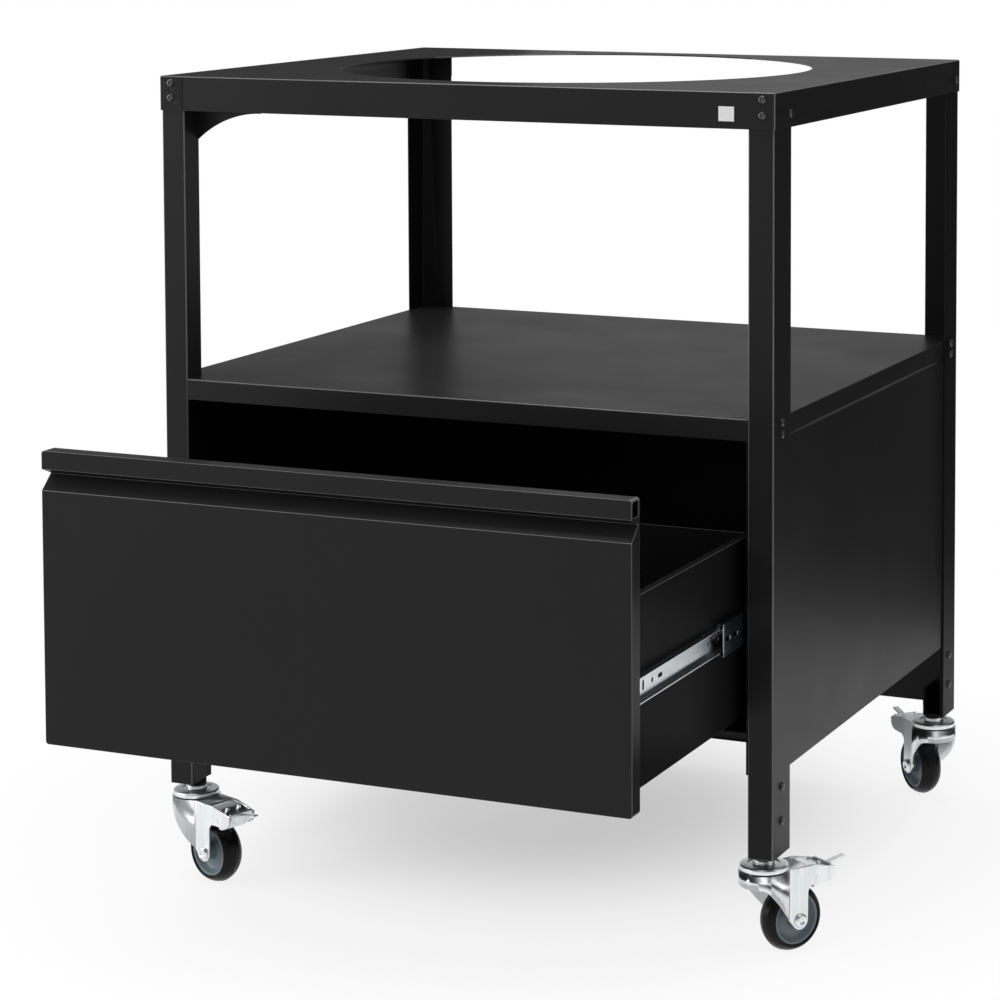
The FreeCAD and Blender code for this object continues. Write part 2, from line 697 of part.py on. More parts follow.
def channel(label, side, near_edge, web, depth, height, opens_in):
    """A slide member: a channel whose flanges point into the table or out of it."""
    part = body(label)
    drawing = sketch(part, "XZ_Plane")
    half = height / 2
    inner = half - slide_sheet
    if opens_in:
        back_face, web_face, tip = near_edge, near_edge + web, near_edge + depth
    else:
        back_face, web_face, tip = near_edge, near_edge - web, near_edge - depth

    def spot(inward, up):
        return (-side * as_size(inward), as_size(up))

    outline(drawing, [
        spot(back_face, -half), spot(tip, -half), spot(tip, -inner), spot(web_face, -inner),
        spot(web_face, inner), spot(tip, inner), spot(tip, half), spot(back_face, half)])
    pad(part, drawing, slide_length, back=True)
    return part


def make_slide(tag, side):
    middle_web = slide_sheet + member_gap
    outer = channel("slide_cabinet_" + tag, side, ZERO, slide_sheet, cabinet_member_depth,
                    cabinet_member_height, True)
    place(outer, side * slide_face, slide_start, slide_level)
    keep(outer)
    middle = channel("slide_middle_" + tag, side, middle_web, slide_sheet, middle_member_depth,
                     middle_member_height, True)
    place(middle, side * slide_face, slide_start - middle_out, slide_level)
    keep(middle)
    inner = channel("slide_drawer_" + tag, side, slide_thickness, slide_sheet, drawer_member_depth,
                    drawer_member_height, False)
    place(inner, side * slide_face, slide_start - drawer_out, slide_level)
    keep(inner)

    strips = []
    outer_low = middle_member_height / 2
    outer_high = cabinet_member_height / 2 - slide_sheet - ball_play
    inner_low = drawer_member_height / 2 + ball_play
    inner_high = middle_member_height / 2 - slide_sheet
    reach = middle_web + middle_member_depth - ball_strip_width
    for low, high, along, length in (
            (outer_low, outer_high, slide_start, outer_strip_length),
            (-outer_high, -outer_low, slide_start, outer_strip_length),
            (inner_low, inner_high, slide_start - middle_out, inner_strip_length),
            (-inner_high, -inner_low, slide_start - middle_out, inner_strip_length)):
        strip = doc.addObject("Part::Box", "Strip_" + tag)
        bind(strip, "Length", ball_strip_width)
        bind(strip, "Width", length)
        bind(strip, "Height", high - low)
        start = slide_face - reach - ball_strip_width if side > 0 else reach - slide_face
        place(strip, start, along, slide_level + low)
        strips.append(strip)
    retainer = doc.addObject("Part::Compound", "Retainer_" + tag)
    retainer.Label = "ball_retainer_" + tag
    retainer.Links = strips
    keep(retainer)


OUTWARD = {
    "left": ((0, 1, 0), -90),
    "right": ((0, 1, 0), 90),
    "front": ((1, 0, 0), 90),
    "back": ((1, 0, 0), -90),
}


def screws(label, spots):
    """Pan head screws; a spot is x, y, z of the seat under the head and the way the head faces."""
    made = []
    for number, (x, y, z, way) in enumerate(spots):
        shank = doc.addObject("Part::Cylinder", "Shank_" + label)
        bind(shank, "Radius", screw_radius)
        bind(shank, "Height", screw_length)
        place(shank, z=-screw_length)
        head = doc.addObject("Part::Cone", "Head_" + label)
        bind(head, "Radius1", screw_head_radius)
        bind(head, "Radius2", screw_crown_radius)
        bind(head, "Height", screw_head_height)
        screw = doc.addObject("Part::Fuse", "Screw_" + label)
        screw.Base = shank
        screw.Tool = head
        axis, turn = OUTWARD[way]
        place(screw, x, y, z, as_size(turn), axis)
        made.append(screw)
    group = doc.addObject("Part::Compound", "Screws_" + label)
    group.Label = label
    group.Links = made
    return keep(group)


def make_screws():
    top, shelf, foot = [], [], []
    for side, way in ((-1, "left"), (1, "right")):
        for depth in (top_screw_upper, top_screw_lower):
            x = side * (half_width - top_screw_inset)
            top.append((x, -half_depth - top_sheet, table_height - depth, "front"))
            top.append((x, half_depth + top_sheet, table_height - depth, "back"))
        over = side * (half_width + top_sheet)
        for along in (side_screw_front - half_depth, half_depth - side_screw_rear):
            top.append((over, along, table_height - top_screw_lower, way))
        for end in (-1, 1):
            along = end * (half_depth - post_screw_inset)
            for depth in (shelf_screw_upper, shelf_screw_lower):
                shelf.append((side * half_width, along, shelf_level - depth, way))
            for rise in (foot_screw_lower, foot_screw_upper):
                foot.append((side * half_width, along, foot_height + rise, way))
    screws("top_screws", top)
    screws("shelf_screws", shelf)
    screws("foot_screws", foot)


def make_bracket(tag, side, end):
    """The bracket in the foot of a post: a plate with a nut for the stem and a leg up either side."""
    part = body("foot_bracket_" + tag)

    def spot(inward, up):
        return (-side * as_size(inward), as_size(up))

    drawing = sketch(part, "XZ_Plane")
    outline(drawing, [
        spot(0, 0), spot(bracket_width, 0), spot(bracket_width, bracket_return),
        spot(bracket_width - bracket_sheet, bracket_return),
        spot(bracket_width - bracket_sheet, bracket_sheet), spot(bracket_sheet, bracket_sheet), spot(bracket_sheet, bracket_leg), spot(0, bracket_leg)])
    pad(part, drawing, bracket_length, middle=True)
    stem_x = -side * (stem_inset_x - post_sheet)
    nut = sketch(part, "XY_Plane")
    ring(nut, stem_x, 0, nut_boss_radius)
    pad(part, nut, bracket_sheet + nut_boss_height)
    bore = sketch(part, "XY_Plane")
    ring(bore, stem_x, 0, stem_radius + running_gap)
    pocket(part, bore, 2 * (stem_above_foot + fit), middle=True)
    holes = sketch(part, "YZ_Plane")
    along = -end * (post_screw_inset - stem_inset_y)
    for rise in (foot_screw_lower, foot_screw_upper):
        ring(holes, along, rise, screw_hole)
    pocket(part, holes, 2 * bracket_sheet + fit, middle=True)
    place(part, side * (half_width - post_sheet), end * (half_depth - stem_inset_y), foot_height)
    return keep(part)


# Castor levels and places; reach runs from the swivel axis the way the castor trails
fork_inner_half = fork_half_width - fork_sheet
fork_head_end = as_size(46)
leg_back = trail + fork_boss_radius
arm_bottom = fork_top - fork_arm
head_bottom = fork_top - fork_band


def make_stem(tag, x, y):
    """The swivel stem with its retaining foot, upper race and collar, turned in one piece."""
    part = body("castor_stem_" + tag)
    plate_top = fork_top + seat_gap
    plate_bottom = fork_top - fork_sheet - seat_gap
    race_top = plate_top + race_cap_height
    drawing = sketch(part, "XZ_Plane")
    outline(drawing, [
        (0, plate_bottom - fork_sheet), (collar_radius, plate_bottom - fork_sheet),
        (collar_radius, plate_bottom), (stem_radius, plate_bottom), (stem_radius, plate_top),
        (race_cap_radius - 7, plate_top), (race_cap_radius - 6, plate_top + 0.7),
        (race_cap_radius - 0.5, plate_top + 0.7), (race_cap_radius, plate_top + 1.5),
        (race_cap_radius, race_top - 3), (race_cap_radius - 2.5, race_top - 0.5, 2.5),
        (collar_radius + 6, race_top), (collar_radius + 5.5, race_top - 1),
        (collar_radius + 2, race_top - 1), (collar_radius, race_top + 1, -2), (collar_radius, foot_height),
        (stem_radius, foot_height), (stem_radius, foot_height + stem_above_foot),
        (0, foot_height + stem_above_foot)])
    revolve(part, drawing, "V_Axis")
    place(part, x, y)
    return keep(part)


def make_fork(tag, x, y, heading):
    """The fork: a pressed hood with a round head, two legs to the axle and two arms for the pedal."""
    shell = body("fork_shell_" + tag)
    meet = root(fork_race_radius * fork_race_radius - fork_half_width * fork_half_width)
    base = wheel_radius - fork_boss_radius
    plan = sketch(shell, "XY_Plane", base)
    outline(plan, [
        (meet, fork_half_width), (meet, -fork_half_width, fork_race_radius, "long"),
        (fork_reach, -fork_half_width), (fork_reach, fork_half_width)])
    pad(shell, plan, fork_top - base)
    inner_radius = fork_race_radius - fork_sheet
    inner_meet = root(inner_radius * inner_radius - fork_inner_half * fork_inner_half)
    hollow = sketch(shell, "XY_Plane", base)
    outline(hollow, [
        (inner_meet, fork_inner_half), (inner_meet, -fork_inner_half, inner_radius, "long"),
        (fork_reach + fork_sheet, -fork_inner_half), (fork_reach + fork_sheet, fork_inner_half)])
    pocket(shell, hollow, fork_top - fork_sheet - base, back=True)
    well = sketch(shell, "XY_Plane", base)
    rectangle(well, fork_head_end, -fork_inner_half, fork_reach + fork_sheet, fork_inner_half)
    pocket(shell, well, fork_top + fork_sheet - base, back=True)
    bore = sketch(shell, "XY_Plane", base)
    ring(bore, 0, 0, stem_radius + running_gap)
    pocket(shell, bore, fork_top + fork_sheet - base, back=True)

    profile = body("fork_profile_" + tag)
    drawing = sketch(profile, "XZ_Plane")
    over_top = fork_top + fork_sheet
    front = -fork_race_radius - fork_sheet
    boss_x = trail - fork_boss_radius * 0.743
    boss_z = wheel_radius - fork_boss_radius * 0.669
    slope_start = fork_head_end + 6
    outline(drawing, [
        (front, over_top), (front, head_bottom), (-21, head_bottom),
        (-9, head_bottom - 5.3, -16), (boss_x, boss_z), (leg_back, wheel_radius, fork_boss_radius),
        (leg_back + 0.5, arm_bottom - 8), (leg_back + 8.5, arm_bottom, -8),
        (fork_reach - 11, arm_bottom), (fork_reach, arm_bottom + 8, 12),
        (fork_reach, fork_top - fork_arm + fork_arm_end), (slope_start, fork_top), (slope_start, over_top)])
    ring(drawing, trail, wheel_radius, axle_radius)
    ring(drawing, pedal_pivot_reach, pedal_pivot_level, pedal_pin_radius + running_gap)
    pad(profile, drawing, 4 * fork_race_radius, middle=True)

    fork = doc.addObject("Part::Common", "Fork_" + tag)
    fork.Label = "castor_fork_" + tag
    fork.Base = shell
    fork.Tool = profile
    place(fork, x, y, turn=heading)
    return keep(fork)


def wheel_place(part, x, y, heading):
    place(part, x + trail * cosine(heading), y + trail * sine(heading), wheel_radius, heading)


def make_axle(tag, x, y, heading):
    """The axle bolt with its hexagon head and nut outside the fork's legs."""
    part = body("castor_axle_" + tag)
    shaft = sketch(part, "XZ_Plane")
    ring(shaft, 0, 0, axle_radius - running_gap)
    grip = fork_half_width + fork_sheet
    pad(part, shaft, 2 * (grip + 3), middle=True)
    across = axle_radius * 1.62
    for side in (-1, 1):
        start = fork_half_width if side > 0 else -fork_half_width
        drawing = sketch(part, "XZ_Plane", start)
        outline(drawing, [
            (across * math.cos(math.radians(60 * step)), across * math.sin(math.radians(60 * step)))
            for step in range(6)])
        pad(part, drawing, axle_radius, back=side < 0)
    wheel_place(part, x, y, heading)
    return keep(part)


def make_hub(tag, x, y, heading):
    """The dished hub with a long boss that runs on the axle."""
    part = body("castor_hub_" + tag)
    drawing = sketch(part, "YZ_Plane")
    bore = axle_radius
    boss = fork_inner_half - seat_gap
    rim = rim_width / 2
    half = [(boss, bore), (boss, bore + 3.5), (6, bore + 4.5), (3.5, bore + 7), (3.5, rim_radius - 5.5),
            (rim, rim_radius - 2), (rim, rim_radius)]
    outline(drawing, half + [(-as_size(along), up) for along, up in reversed(half)])
    revolve(part, drawing, "H_Axis")
    wheel_place(part, x, y, heading)
    return keep(part)


def make_tyre(tag, x, y, heading):
    part = body("castor_tyre_" + tag)
    drawing = sketch(part, "YZ_Plane")
    half = tyre_width / 2
    shoulder = wheel_radius - tyre_crown
    crown = (half * half + tyre_crown * tyre_crown) / (2 * tyre_crown)
    rim = rim_width / 2
    outline(drawing, [
        (-rim, rim_radius), (rim, rim_radius), (half, rim_radius + 1), (half, shoulder),
        (-half, shoulder, crown), (-half, rim_radius + 1)])
    revolve(part, drawing, "H_Axis")
    wheel_place(part, x, y, heading)
    return keep(part)


def make_pedal(tag, x, y, heading):
    """The brake pedal: a rolled front, a shoe over the tyre, a plate with a turned-down end, a tongue, a pin."""
    part = body("brake_pedal_" + tag)
    end = fork_reach
    root_top = fork_top - 1.5
    end_top = arm_bottom + fork_arm_end - 2
    side = sketch(part, "XZ_Plane")
    shoe_front = pedal_pivot_reach - 2
    shoe_back = pedal_pivot_reach + 4
    shoe_bottom = pedal_pivot_level - 11
    lobe_front = fork_head_end + 4
    lobe_back = lobe_front + 2 * lobe_radius
    lobe_level = fork_top + lobe_rise - lobe_radius
    outline(side, [
        (lobe_front, fork_top - 9), (lobe_front + fork_sheet, fork_top - 9),
        (lobe_front + fork_sheet, lobe_level),
        (lobe_back - fork_sheet, lobe_level, fork_sheet - lobe_radius - 0.1),
        (lobe_back - fork_sheet, root_top - fork_sheet), (shoe_front, root_top - fork_sheet),
        (shoe_front, shoe_bottom), (shoe_back, shoe_bottom), (shoe_back, root_top - fork_sheet),
        (end - 2, end_top - fork_sheet), (end - 2, end_top - 11), (end, end_top - 11),
        (end, end_top - 1.5), (end - 1.5, end_top), (lobe_back + 4, root_top),
        (lobe_back, lobe_level), (lobe_front, lobe_level, lobe_radius + 0.1)])
    pad(part, side, 2 * pedal_half_width, middle=True)
    tongue = sketch(part, "XZ_Plane")
    tip_level = end_top + 4
    outline(tongue, [
        (end - 4, end_top - fork_sheet), (end, end_top - fork_sheet), (pedal_tip, tip_level - 1.8),
        (pedal_tip - 1.2, tip_level), (end - 4, end_top - 0.2)])
    pad(part, tongue, tongue_width, middle=True)
    pin = sketch(part, "XZ_Plane")
    ring(pin, pedal_pivot_reach, pedal_pivot_level, pedal_pin_radius)
    pad(part, pin, 2 * fork_half_width, middle=True)
    place(part, x, y, turn=heading)
    return keep(part)


def make_castor(tag, side, end, heading):
    x = side * (half_width - stem_inset_x)
    y = end * (half_depth - stem_inset_y)
    make_bracket(tag, side, end)
    make_stem(tag, x, y)
    make_fork(tag, x, y, heading)
    make_axle(tag, x, y, heading)
    make_hub(tag, x, y, heading)
    make_tyre(tag, x, y, heading)
    make_pedal(tag, x, y, heading)


def check(thing):
    if any(word in state for state in thing.State for word in ("Invalid", "Error")):
        raise ValueError("%s (%s) is %s" % (thing.Name, thing.Label, thing.State))


def write():
    doc.recompute()
    for thing in doc.Objects:
        check(thing)
    for part in nodes:
        if part.Shape.isNull() or not part.Shape.isValid() or not part.Shape.Solids:
            raise ValueError("%s has no sound solid" % part.Label)
    for part in nodes:
        part.Shape.exportStep("parts/%s.step" % part.Label)
    print(len(nodes), "nodes written")


make_top()
make_post("post_front_left", -1, -1)
make_post("post_front_right", 1, -1)
make_post("post_rear_left", -1, 1)
make_post("post_rear_right", 1, 1)
make_gusset()
make_shelf()
make_side_panel("side_panel_left", -1)
make_side_panel("side_panel_right", 1)
make_inner_panel("inner_panel_left", -1)
make_inner_panel("inner_panel_right", 1)
make_back_panel()
make_cabinet_floor()
make_badge()
make_drawer_front()
make_drawer_liner()
make_drawer_side("drawer_side_left", -1)
make_drawer_side("drawer_side_right", 1)
make_drawer_bottom()
make_drawer_back()
make_slide("left", -1)
make_slide("right", 1)
make_screws()
make_castor("front_left", -1, -1, front_left_heading)
make_castor("front_right", 1, -1, front_right_heading)
make_castor("rear_left", -1, 1, rear_left_heading)
make_castor("rear_right", 1, 1, rear_right_heading)
write()
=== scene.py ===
"""Looks of the grill table: coated sheet steel, bright slides and castors, on a pale floor.

Metres, in the part's own frame: the origin is on the floor under the middle of the table, +X is
to the right, +Y to the back and +Z up.
"""

import math

import bmesh
import bpy
from mathutils import Matrix, Vector


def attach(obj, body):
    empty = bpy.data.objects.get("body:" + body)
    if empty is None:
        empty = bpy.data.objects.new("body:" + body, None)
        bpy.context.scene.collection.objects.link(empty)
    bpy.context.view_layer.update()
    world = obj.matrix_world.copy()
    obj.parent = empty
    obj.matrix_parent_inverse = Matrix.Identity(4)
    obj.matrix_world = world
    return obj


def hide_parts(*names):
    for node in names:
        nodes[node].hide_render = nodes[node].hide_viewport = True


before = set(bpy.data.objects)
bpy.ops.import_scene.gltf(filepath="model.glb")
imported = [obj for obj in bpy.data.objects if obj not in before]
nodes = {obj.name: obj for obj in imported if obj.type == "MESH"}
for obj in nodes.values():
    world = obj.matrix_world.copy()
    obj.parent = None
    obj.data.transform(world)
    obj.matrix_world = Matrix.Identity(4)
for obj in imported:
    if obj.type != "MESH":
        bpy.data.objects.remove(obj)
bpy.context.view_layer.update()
scene = bpy.context.scene
MM = 0.001

# Sizes of the table, as in the part's source
TABLE_WIDTH = 0.760
TABLE_DEPTH = 0.655
TABLE_HEIGHT = 0.950
TOP_SHEET = 0.0015
SHELF_LEVEL = 0.597
FOOT_HEIGHT = 0.115
TOP_SCREW_INSET = 0.013
TOP_SCREW_DEPTHS = (0.008, 0.025)
SIDE_SCREW_FRONT = 0.046
SIDE_SCREW_REAR = 0.012
POST_SCREW_INSET = 0.026
SHELF_SCREW_DEPTHS = (0.005, 0.018)
FOOT_SCREW_RISES = (0.038, 0.076)
STEM_INSET_X = 0.020
STEM_INSET_Y = 0.025
WHEEL_RADIUS = 0.0375
TYRE_WIDTH = 0.027
RIM_RADIUS = 0.0285
RIM_WIDTH = 0.024
TRAIL = 0.036
AXLE_RADIUS = 0.005
BOSS_HALF = 0.0162
FORK_HALF = 0.019
FORK_SHEET = 0.0025
FORK_HEAD = 0.028
FORK_CREASE = math.sqrt(FORK_HEAD ** 2 - FORK_HALF ** 2)
FORK_CREASE_INSIDE = math.sqrt((FORK_HEAD - FORK_SHEET) ** 2 - (FORK_HALF - FORK_SHEET) ** 2)
PEDAL_TIP = 110.0
SLIDE_LEVEL = 0.369
SLIDE_FRONT = -0.3065
DRAWER_OUT = 0.300
MIDDLE_OUT = 0.081
WALL_FACE = 0.0315
DRAWER_WEB = 0.0121
MIDDLE_WEB = 0.0024
DRAWER_HALF = 0.345
DRAWER_LOW = 0.246
DRAWER_TOP = 0.566
BAR_OPENING = (-0.6175, 0.5555)
HEADINGS = {"front_left": (-1, -1, 340), "front_right": (1, -1, 57),
            "rear_left": (-1, 1, 20), "rear_right": (1, 1, 135)}

# Punched slots: (along the slide, radius, stretch along, stretch up)
DRAWER_SLOTS = ((0.0255, 0.0024, 0.0, 0.006), (0.0485, 0.0026, 0.0, 0.0), (0.069, 0.0022, 0.007, 0.0),
                (0.199, 0.0023, 0.0, 0.0), (0.222, 0.0023, 0.006, 0.0), (0.290, 0.0023, 0.008, 0.0))
MIDDLE_SLOTS = ((0.012, 0.0025, 0.008, 0.0), (0.034, 0.0025, 0.008, 0.0))
SLOT_DEPTH = 0.002

# Edges and folds
WELD_REACH = 0.00005
SAME_SPOT = 0.0001
FOLD_STRIP = 0.0012
FOLD_SLANT = 0.45
EDGE_SEEN = 0.00035
LONG_EDGE = 0.025
WIDE_FACE = 0.006
LOOKS_DOWN = -0.2


# Finishes

def add(tree, kind, **settings):
    """A node with its settings; a setting that is a socket's name fills that socket."""
    node = tree.nodes.new(kind)
    for key, value in settings.items():
        if hasattr(node, key):
            setattr(node, key, value)
        else:
            node.inputs[key.replace("_", " ")].default_value = value
    return node


def effect(name, takes, gives):
    """An empty node group with named inputs and outputs."""
    group = bpy.data.node_groups.new(name, "ShaderNodeTree")
    for label, kind, value in takes:
        socket = group.interface.new_socket(label, in_out="INPUT", socket_type=kind)
        if value is not None:
            socket.default_value = value
    for label, kind in gives:
        group.interface.new_socket(label, in_out="OUTPUT", socket_type=kind)
    return group, group.nodes.new("NodeGroupInput"), group.nodes.new("NodeGroupOutput")


NUMBER, SPOT = "NodeSocketFloat", "NodeSocketVector"


def build_sprayed_grain():
    """Orange peel of sprayed powder and the slow clouds of its thickness."""
    group, start, end = effect(
        "sprayed grain",
        [("Vector", SPOT, None), ("Peel per metre", NUMBER, 700.0), ("Clouds per metre", NUMBER, 6.0)],
        [("Peel", NUMBER), ("Clouds", NUMBER)])
    peel = add(group, "ShaderNodeTexNoise", Detail=3.0, Roughness=0.55)
    clouds = add(group, "ShaderNodeTexNoise", Detail=4.0, Roughness=0.6, Distortion=0.4)
    for texture, amount in ((peel, "Peel per metre"), (clouds, "Clouds per metre")):
        group.links.new(start.outputs["Vector"], texture.inputs["Vector"])
        group.links.new(start.outputs[amount], texture.inputs["Scale"])
    group.links.new(peel.outputs["Fac"], end.inputs["Peel"])
    group.links.new(clouds.outputs["Fac"], end.inputs["Clouds"])
    return group


def build_edge_light_and_rub():
    """A mask of the edges, broken up by fine noise, for edges lightened as painted highlight and rubbed
    bright by handling.
    """
    group, start, end = effect(
        "edge light and rub",
        [("Vector", SPOT, None), ("Reach", NUMBER, 0.0012), ("Breaks per metre", NUMBER, 90.0)],
        [("Light and rub", NUMBER)])
    bevel = add(group, "ShaderNodeBevel", samples=4)
    plain = add(group, "ShaderNodeNewGeometry")
    group.links.new(start.outputs["Reach"], bevel.inputs["Radius"])
    turn = add(group, "ShaderNodeVectorMath", operation="DOT_PRODUCT")
    group.links.new(bevel.outputs["Normal"], turn.inputs[0])
    group.links.new(plain.outputs["Normal"], turn.inputs[1])
    edge = add(group, "ShaderNodeMapRange", From_Min=0.995, From_Max=0.80, To_Min=0.0, To_Max=1.0)
    group.links.new(turn.outputs["Value"], edge.inputs["Value"])
    noise = add(group, "ShaderNodeTexNoise", Detail=5.0, Roughness=0.65)
    group.links.new(start.outputs["Vector"], noise.inputs["Vector"])
    group.links.new(start.outputs["Breaks per metre"], noise.inputs["Scale"])
    broken = add(group, "ShaderNodeMapRange", From_Min=0.35, From_Max=0.65, To_Min=0.25, To_Max=1.0)
    group.links.new(noise.outputs["Fac"], broken.inputs["Value"])
    both = add(group, "ShaderNodeMath", operation="MULTIPLY")
    group.links.new(edge.outputs["Result"], both.inputs[0])
    group.links.new(broken.outputs["Result"], both.inputs[1])
    group.links.new(both.outputs["Value"], end.inputs["Light and rub"])
    return group


def build_settled_dust():
    """Fine dust that lies on faces that look up, thicker in patches and specks."""
    group, start, end = effect(
        "settled dust",
        [("Vector", SPOT, None), ("Patches per metre", NUMBER, 9.0), ("Specks per metre", NUMBER, 420.0)],
        [("Dust", NUMBER)])
    plain = add(group, "ShaderNodeNewGeometry")
    parts = add(group, "ShaderNodeSeparateXYZ")
    group.links.new(plain.outputs["Normal"], parts.inputs[0])
    facing = add(group, "ShaderNodeMapRange", From_Min=0.5, From_Max=1.0, To_Min=0.0, To_Max=1.0)
    group.links.new(parts.outputs["Z"], facing.inputs["Value"])
    patches = add(group, "ShaderNodeTexNoise", Detail=5.0, Roughness=0.6)
    specks = add(group, "ShaderNodeTexNoise", Detail=2.0, Roughness=0.7)
    for texture, amount in ((patches, "Patches per metre"), (specks, "Specks per metre")):
        group.links.new(start.outputs["Vector"], texture.inputs["Vector"])
        group.links.new(start.outputs[amount], texture.inputs["Scale"])
    spread = add(group, "ShaderNodeMapRange", From_Min=0.3, From_Max=0.75, To_Min=0.2, To_Max=0.8)
    group.links.new(patches.outputs["Fac"], spread.inputs["Value"])
    dots = add(group, "ShaderNodeMapRange", From_Min=0.6, From_Max=0.72, To_Min=0.0, To_Max=0.6)
    group.links.new(specks.outputs["Fac"], dots.inputs["Value"])
    total = add(group, "ShaderNodeMath", operation="ADD")
    group.links.new(spread.outputs["Result"], total.inputs[0])
    group.links.new(dots.outputs["Result"], total.inputs[1])
    lying = add(group, "ShaderNodeMath", operation="MULTIPLY")
    group.links.new(total.outputs["Value"], lying.inputs[0])
    group.links.new(facing.outputs["Result"], lying.inputs[1])
    group.links.new(lying.outputs["Value"], end.inputs["Dust"])
    return group


def build_drawn_streaks():
    """Streaks along one direction: rolled, brushed or drawn metal."""
    group, start, end = effect(
        "drawn streaks",
        [("Vector", SPOT, None), ("Stretch", SPOT, (1.0, 1.0, 1.0)), ("Streaks per metre", NUMBER, 500.0)],
        [("Streaks", NUMBER)])
    stretch = add(group, "ShaderNodeVectorMath", operation="MULTIPLY")
    group.links.new(start.outputs["Vector"], stretch.inputs[0])
    group.links.new(start.outputs["Stretch"], stretch.inputs[1])
    noise = add(group, "ShaderNodeTexNoise", Detail=4.0, Roughness=0.7)
    group.links.new(stretch.outputs["Vector"], noise.inputs["Vector"])
    group.links.new(start.outputs["Streaks per metre"], noise.inputs["Scale"])
    group.links.new(noise.outputs["Fac"], end.inputs["Streaks"])
    return group


sprayed_grain = build_sprayed_grain()
edge_light_and_rub = build_edge_light_and_rub()
settled_dust = build_settled_dust()
drawn_streaks = build_drawn_streaks()


class Finish:
    """A material under way: its shader, and what the effects put onto it."""

    def __init__(self, name, color, roughness, metallic=0.0, specular=0.5):
        self.material = bpy.data.materials.new(name)
        self.material.use_nodes = True
        self.tree = self.material.node_tree
        self.tree.nodes.clear()
        self.shader = add(self.tree, "ShaderNodeBsdfPrincipled")
        output = add(self.tree, "ShaderNodeOutputMaterial")
        self.tree.links.new(self.shader.outputs["BSDF"], output.inputs["Surface"])
        self.place = add(self.tree, "ShaderNodeTexCoord").outputs["Object"]
        self.shader.inputs["Base Color"].default_value = (*color, 1.0)
        self.shader.inputs["Roughness"].default_value = roughness
        self.shader.inputs["Metallic"].default_value = metallic
        self.shader.inputs["Specular IOR Level"].default_value = specular
        self.color = None
        self.rough = None
        self.height = None

    def apply(self, group, **amounts):
        """Put an effect into the material, with its amounts by name."""
        node = add(self.tree, "ShaderNodeGroup")
        node.node_tree = group
        self.tree.links.new(self.place, node.inputs["Vector"])
        for key, value in amounts.items():
            node.inputs[key.replace("_", " ")].default_value = value
        return node

    def tint(self, mask, color, amount=1.0, start=0.0, end=1.0):
        """Mix a colour in where the mask is high: none of it at start, all of the amount at end."""
        mix = add(self.tree, "ShaderNodeMix", data_type="RGBA")
        share = add(self.tree, "ShaderNodeMapRange", From_Min=start, From_Max=end, To_Min=0.0, To_Max=amount)
        self.tree.links.new(mask, share.inputs["Value"])
        self.tree.links.new(share.outputs["Result"], mix.inputs["Factor"])
        below = [socket for socket in mix.inputs if socket.type == "RGBA"]
        if self.color is None:
            below[0].default_value = self.shader.inputs["Base Color"].default_value
        else:
            self.tree.links.new(self.color, below[0])
        below[1].default_value = (*color, 1.0)
        self.color = [socket for socket in mix.outputs if socket.type == "RGBA"][0]
        self.tree.links.new(self.color, self.shader.inputs["Base Color"])

    def roughen(self, mask, low, high, start=0.3, end=0.7):
        """Roughness that follows a mask, added to what is there already."""
        spread = add(self.tree, "ShaderNodeMapRange", From_Min=start, From_Max=end, To_Min=low, To_Max=high)
        self.tree.links.new(mask, spread.inputs["Value"])
        result = spread.outputs["Result"]
        if self.rough is not None:
            total = add(self.tree, "ShaderNodeMath", operation="ADD", use_clamp=True)
            self.tree.links.new(self.rough, total.inputs[0])
            self.tree.links.new(result, total.inputs[1])
            result = total.outputs["Value"]
        self.rough = result
        self.tree.links.new(result, self.shader.inputs["Roughness"])

    def emboss(self, height, distance, strength=1.0):
        """A bump from a height mask; distance is in metres."""
        bump = add(self.tree, "ShaderNodeBump", Strength=strength, Distance=distance)
        self.tree.links.new(height, bump.inputs["Height"])
        if self.height is not None:
            self.tree.links.new(self.height, bump.inputs["Normal"])
        self.height = bump.outputs["Normal"]
        self.tree.links.new(self.height, self.shader.inputs["Normal"])


def powder_coat(name, color, roughness, dust, specular=0.13):
    """Black satin powder coat."""
    finish = Finish(name, color, roughness, specular=specular)
    grain = finish.apply(sprayed_grain)
    light_and_rub = finish.apply(edge_light_and_rub, Reach=0.0014)
    fall = finish.apply(settled_dust)
    finish.tint(grain.outputs["Clouds"], tuple(1.25 * part for part in color), 0.8)
    # Painted highlight: lighter edges stand in for the light lines along the rounded folds, with some edge
    # rub.
    finish.tint(light_and_rub.outputs["Light and rub"], (0.105, 0.105, 0.107), 0.75)
    finish.tint(fall.outputs["Dust"], (0.12, 0.118, 0.115), dust)
    finish.roughen(grain.outputs["Clouds"], roughness - 0.03, roughness + 0.04)
    finish.emboss(grain.outputs["Peel"], 0.00003, 0.3)
    return finish.material


